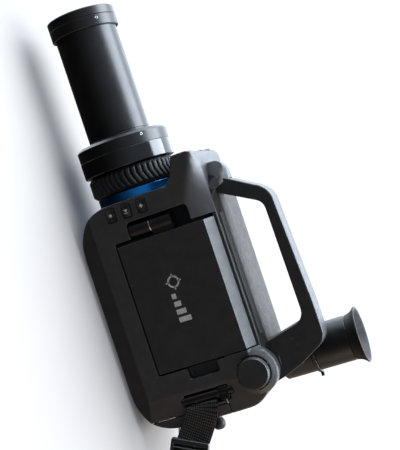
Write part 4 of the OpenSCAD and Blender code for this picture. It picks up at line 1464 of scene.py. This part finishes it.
def make_buttons():
    icons = {
        "button_upper": [[(1.7, 0), (0, 1.5), (-1.7, 0), (0, -1.5)]],
        "button_middle": [
            [(1.3, 0), (-1.1, 1.5), (-1.1, -1.5)],
            [(1.6, 1.6), (2.1, 1.6), (2.1, -1.6), (1.6, -1.6)],
        ],
        "button_lower": [star(6, 1.8, 0.8)],
    }
    for node, outlines in icons.items():
        low, high = span(node)
        middle = (low + high) / 2
        long = high.y - low.y
        tall = high.z - low.z
        builder = bmesh.new()
        outline = rounded_rectangle(long, tall, 1.5, 5, (middle.y, middle.z))
        add_prism(builder, outline, on_x, low.x, high.x - 0.1, 0.45)
        mesh = mesh_from(builder, node)
        piece(node + "_key", mesh, node, "button_rubber", KEY_RUBBER, node)
        builder = bmesh.new()
        for outline in outlines:
            moved = [(middle.y + u, middle.z + v) for u, v in outline]
            add_prism(builder, moved, on_x, high.x - 0.3, high.x)
        piece(node + "_sign", mesh_from(builder, node + "_sign"), node, "button_rubber", MARK)


# ---------------------------------------------------------------- fasteners and fittings

def make_screws():
    """Socket screws in place of the plain ones that close the shells."""
    side_head, _ = span("housing_screws")
    builder = bmesh.new()
    socket_r = 1.2
    socket_deep = 0.9
    edge = 0.3

    def shape(radius, along, angle):
        return hexagon(radius, angle) if radius < 1.5 else radius

    def add_screw(place, head, tip, radius):
        sign = 1 if tip > head else -1
        profile = [
            (0, head + sign * socket_deep), (socket_r, head + sign * socket_deep),
            (socket_r, head), (radius - edge, head),
            (radius, head + sign * edge), (radius, tip), (0, tip),
        ]
        add_lathe(builder, profile, place, 48, shape)

    plate_low, plate_high = span("base_plate")
    plate_head = 0.2
    head_end = 1.8
    shank_r = 1.5
    shank_end = 7.8
    shank = [(0, head_end), (shank_r, head_end), (shank_r, shank_end), (0, shank_end)]
    for x in (-30.2, 30.2):
        for y in (plate_low.y + 4, plate_high.y - 4):
            add_screw(about_z(x, y), plate_head, head_end, 3.0)
            add_lathe(builder, shank, about_z(x, y), 24)
    for y in (-70, 78):
        for z in (24, 96):
            add_screw(about_x(y, z), side_head.x, side_head.x + 1.5, 2.6)
    mesh = mesh_from(builder, "shell_screws")
    piece("shell_screws", mesh, "root", "steel_small", DARK_STEEL, "housing_screws")


def bar_shroud():
    """Rounded cover over the strap bar, as long as the recess."""
    builder = bmesh.new()
    cover_r = 3.75
    bottom = 44.4
    top = 79.6
    rod = [(0, bottom), (cover_r, bottom), (cover_r, top), (0, top)]
    add_lathe(builder, softened(rod, 2.2), about_z(42.6, 75.6), 64)
    return mesh_from(builder, "shroud")


def make_strap_fittings():
    bar = melted("strap_bar_rod", [cad_mesh("strap_bar"), bar_shroud()], 0.25, 3, 0.35)
    piece("strap_bar_rod", bar, "root", "bar_metal", SATIN, "strap_bar", smooth_angle=80)
    dress("strap_bar_screw", DARK_STEEL, 0.15)
    dress("strap_lug", DARK_STEEL, 0.4)


def make_latch():
    """Round rubber-faced knob, its spindle, and the cam behind the door."""
    low, high = span("latch_knob")
    middle = (30, 60)
    builder = bmesh.new()
    profile = [
        (0, 94.3), (3.8, 94.3), (3.5, 96.2), (4.4, 98.0), (5.15, 100.4),
        (4.9, 103.0), (3.4, 105.0), (1.6, high.y), (0, high.y),
    ]
    add_lathe(builder, softened(profile, 0.9), about_y(*middle), 96)
    add_lathe(builder, [(0, 87), (2.2, 87), (2.2, 95), (0, 95)], about_y(*middle), 48)
    cam_low = (middle[0] - 2.5, low.y, middle[1] - 5)
    cam_high = (middle[0] + 9, 88.2, middle[1] + 2.5)
    add_block(builder, cam_low, cam_high, 0.4)
    piece("latch_grip", mesh_from(builder, "latch_grip"), "latch", "knob", RUBBER, "latch_knob")


# ---------------------------------------------------------------- what is inside

def make_insides():
    dress("detector_dewar", ALUMINIUM, 0.5)
    dress("cryocooler", ALUMINIUM, 0.5)
    dress("main_board", BOARD, 0.1)
    dress("power_board", BOARD, 0.1)
    dress("button_board", BOARD, 0.1)
    dress("battery_pack", WRAP, 1.2)
    dress("battery_contacts", GOLD, 0.2)


make_strap()
make_strap_fittings()
make_body()
make_front_windows()
make_lens()
make_viewfinder()
make_handle()
make_display()
make_buttons()
make_screws()
make_latch()
make_insides()
link_boxes(boxes)
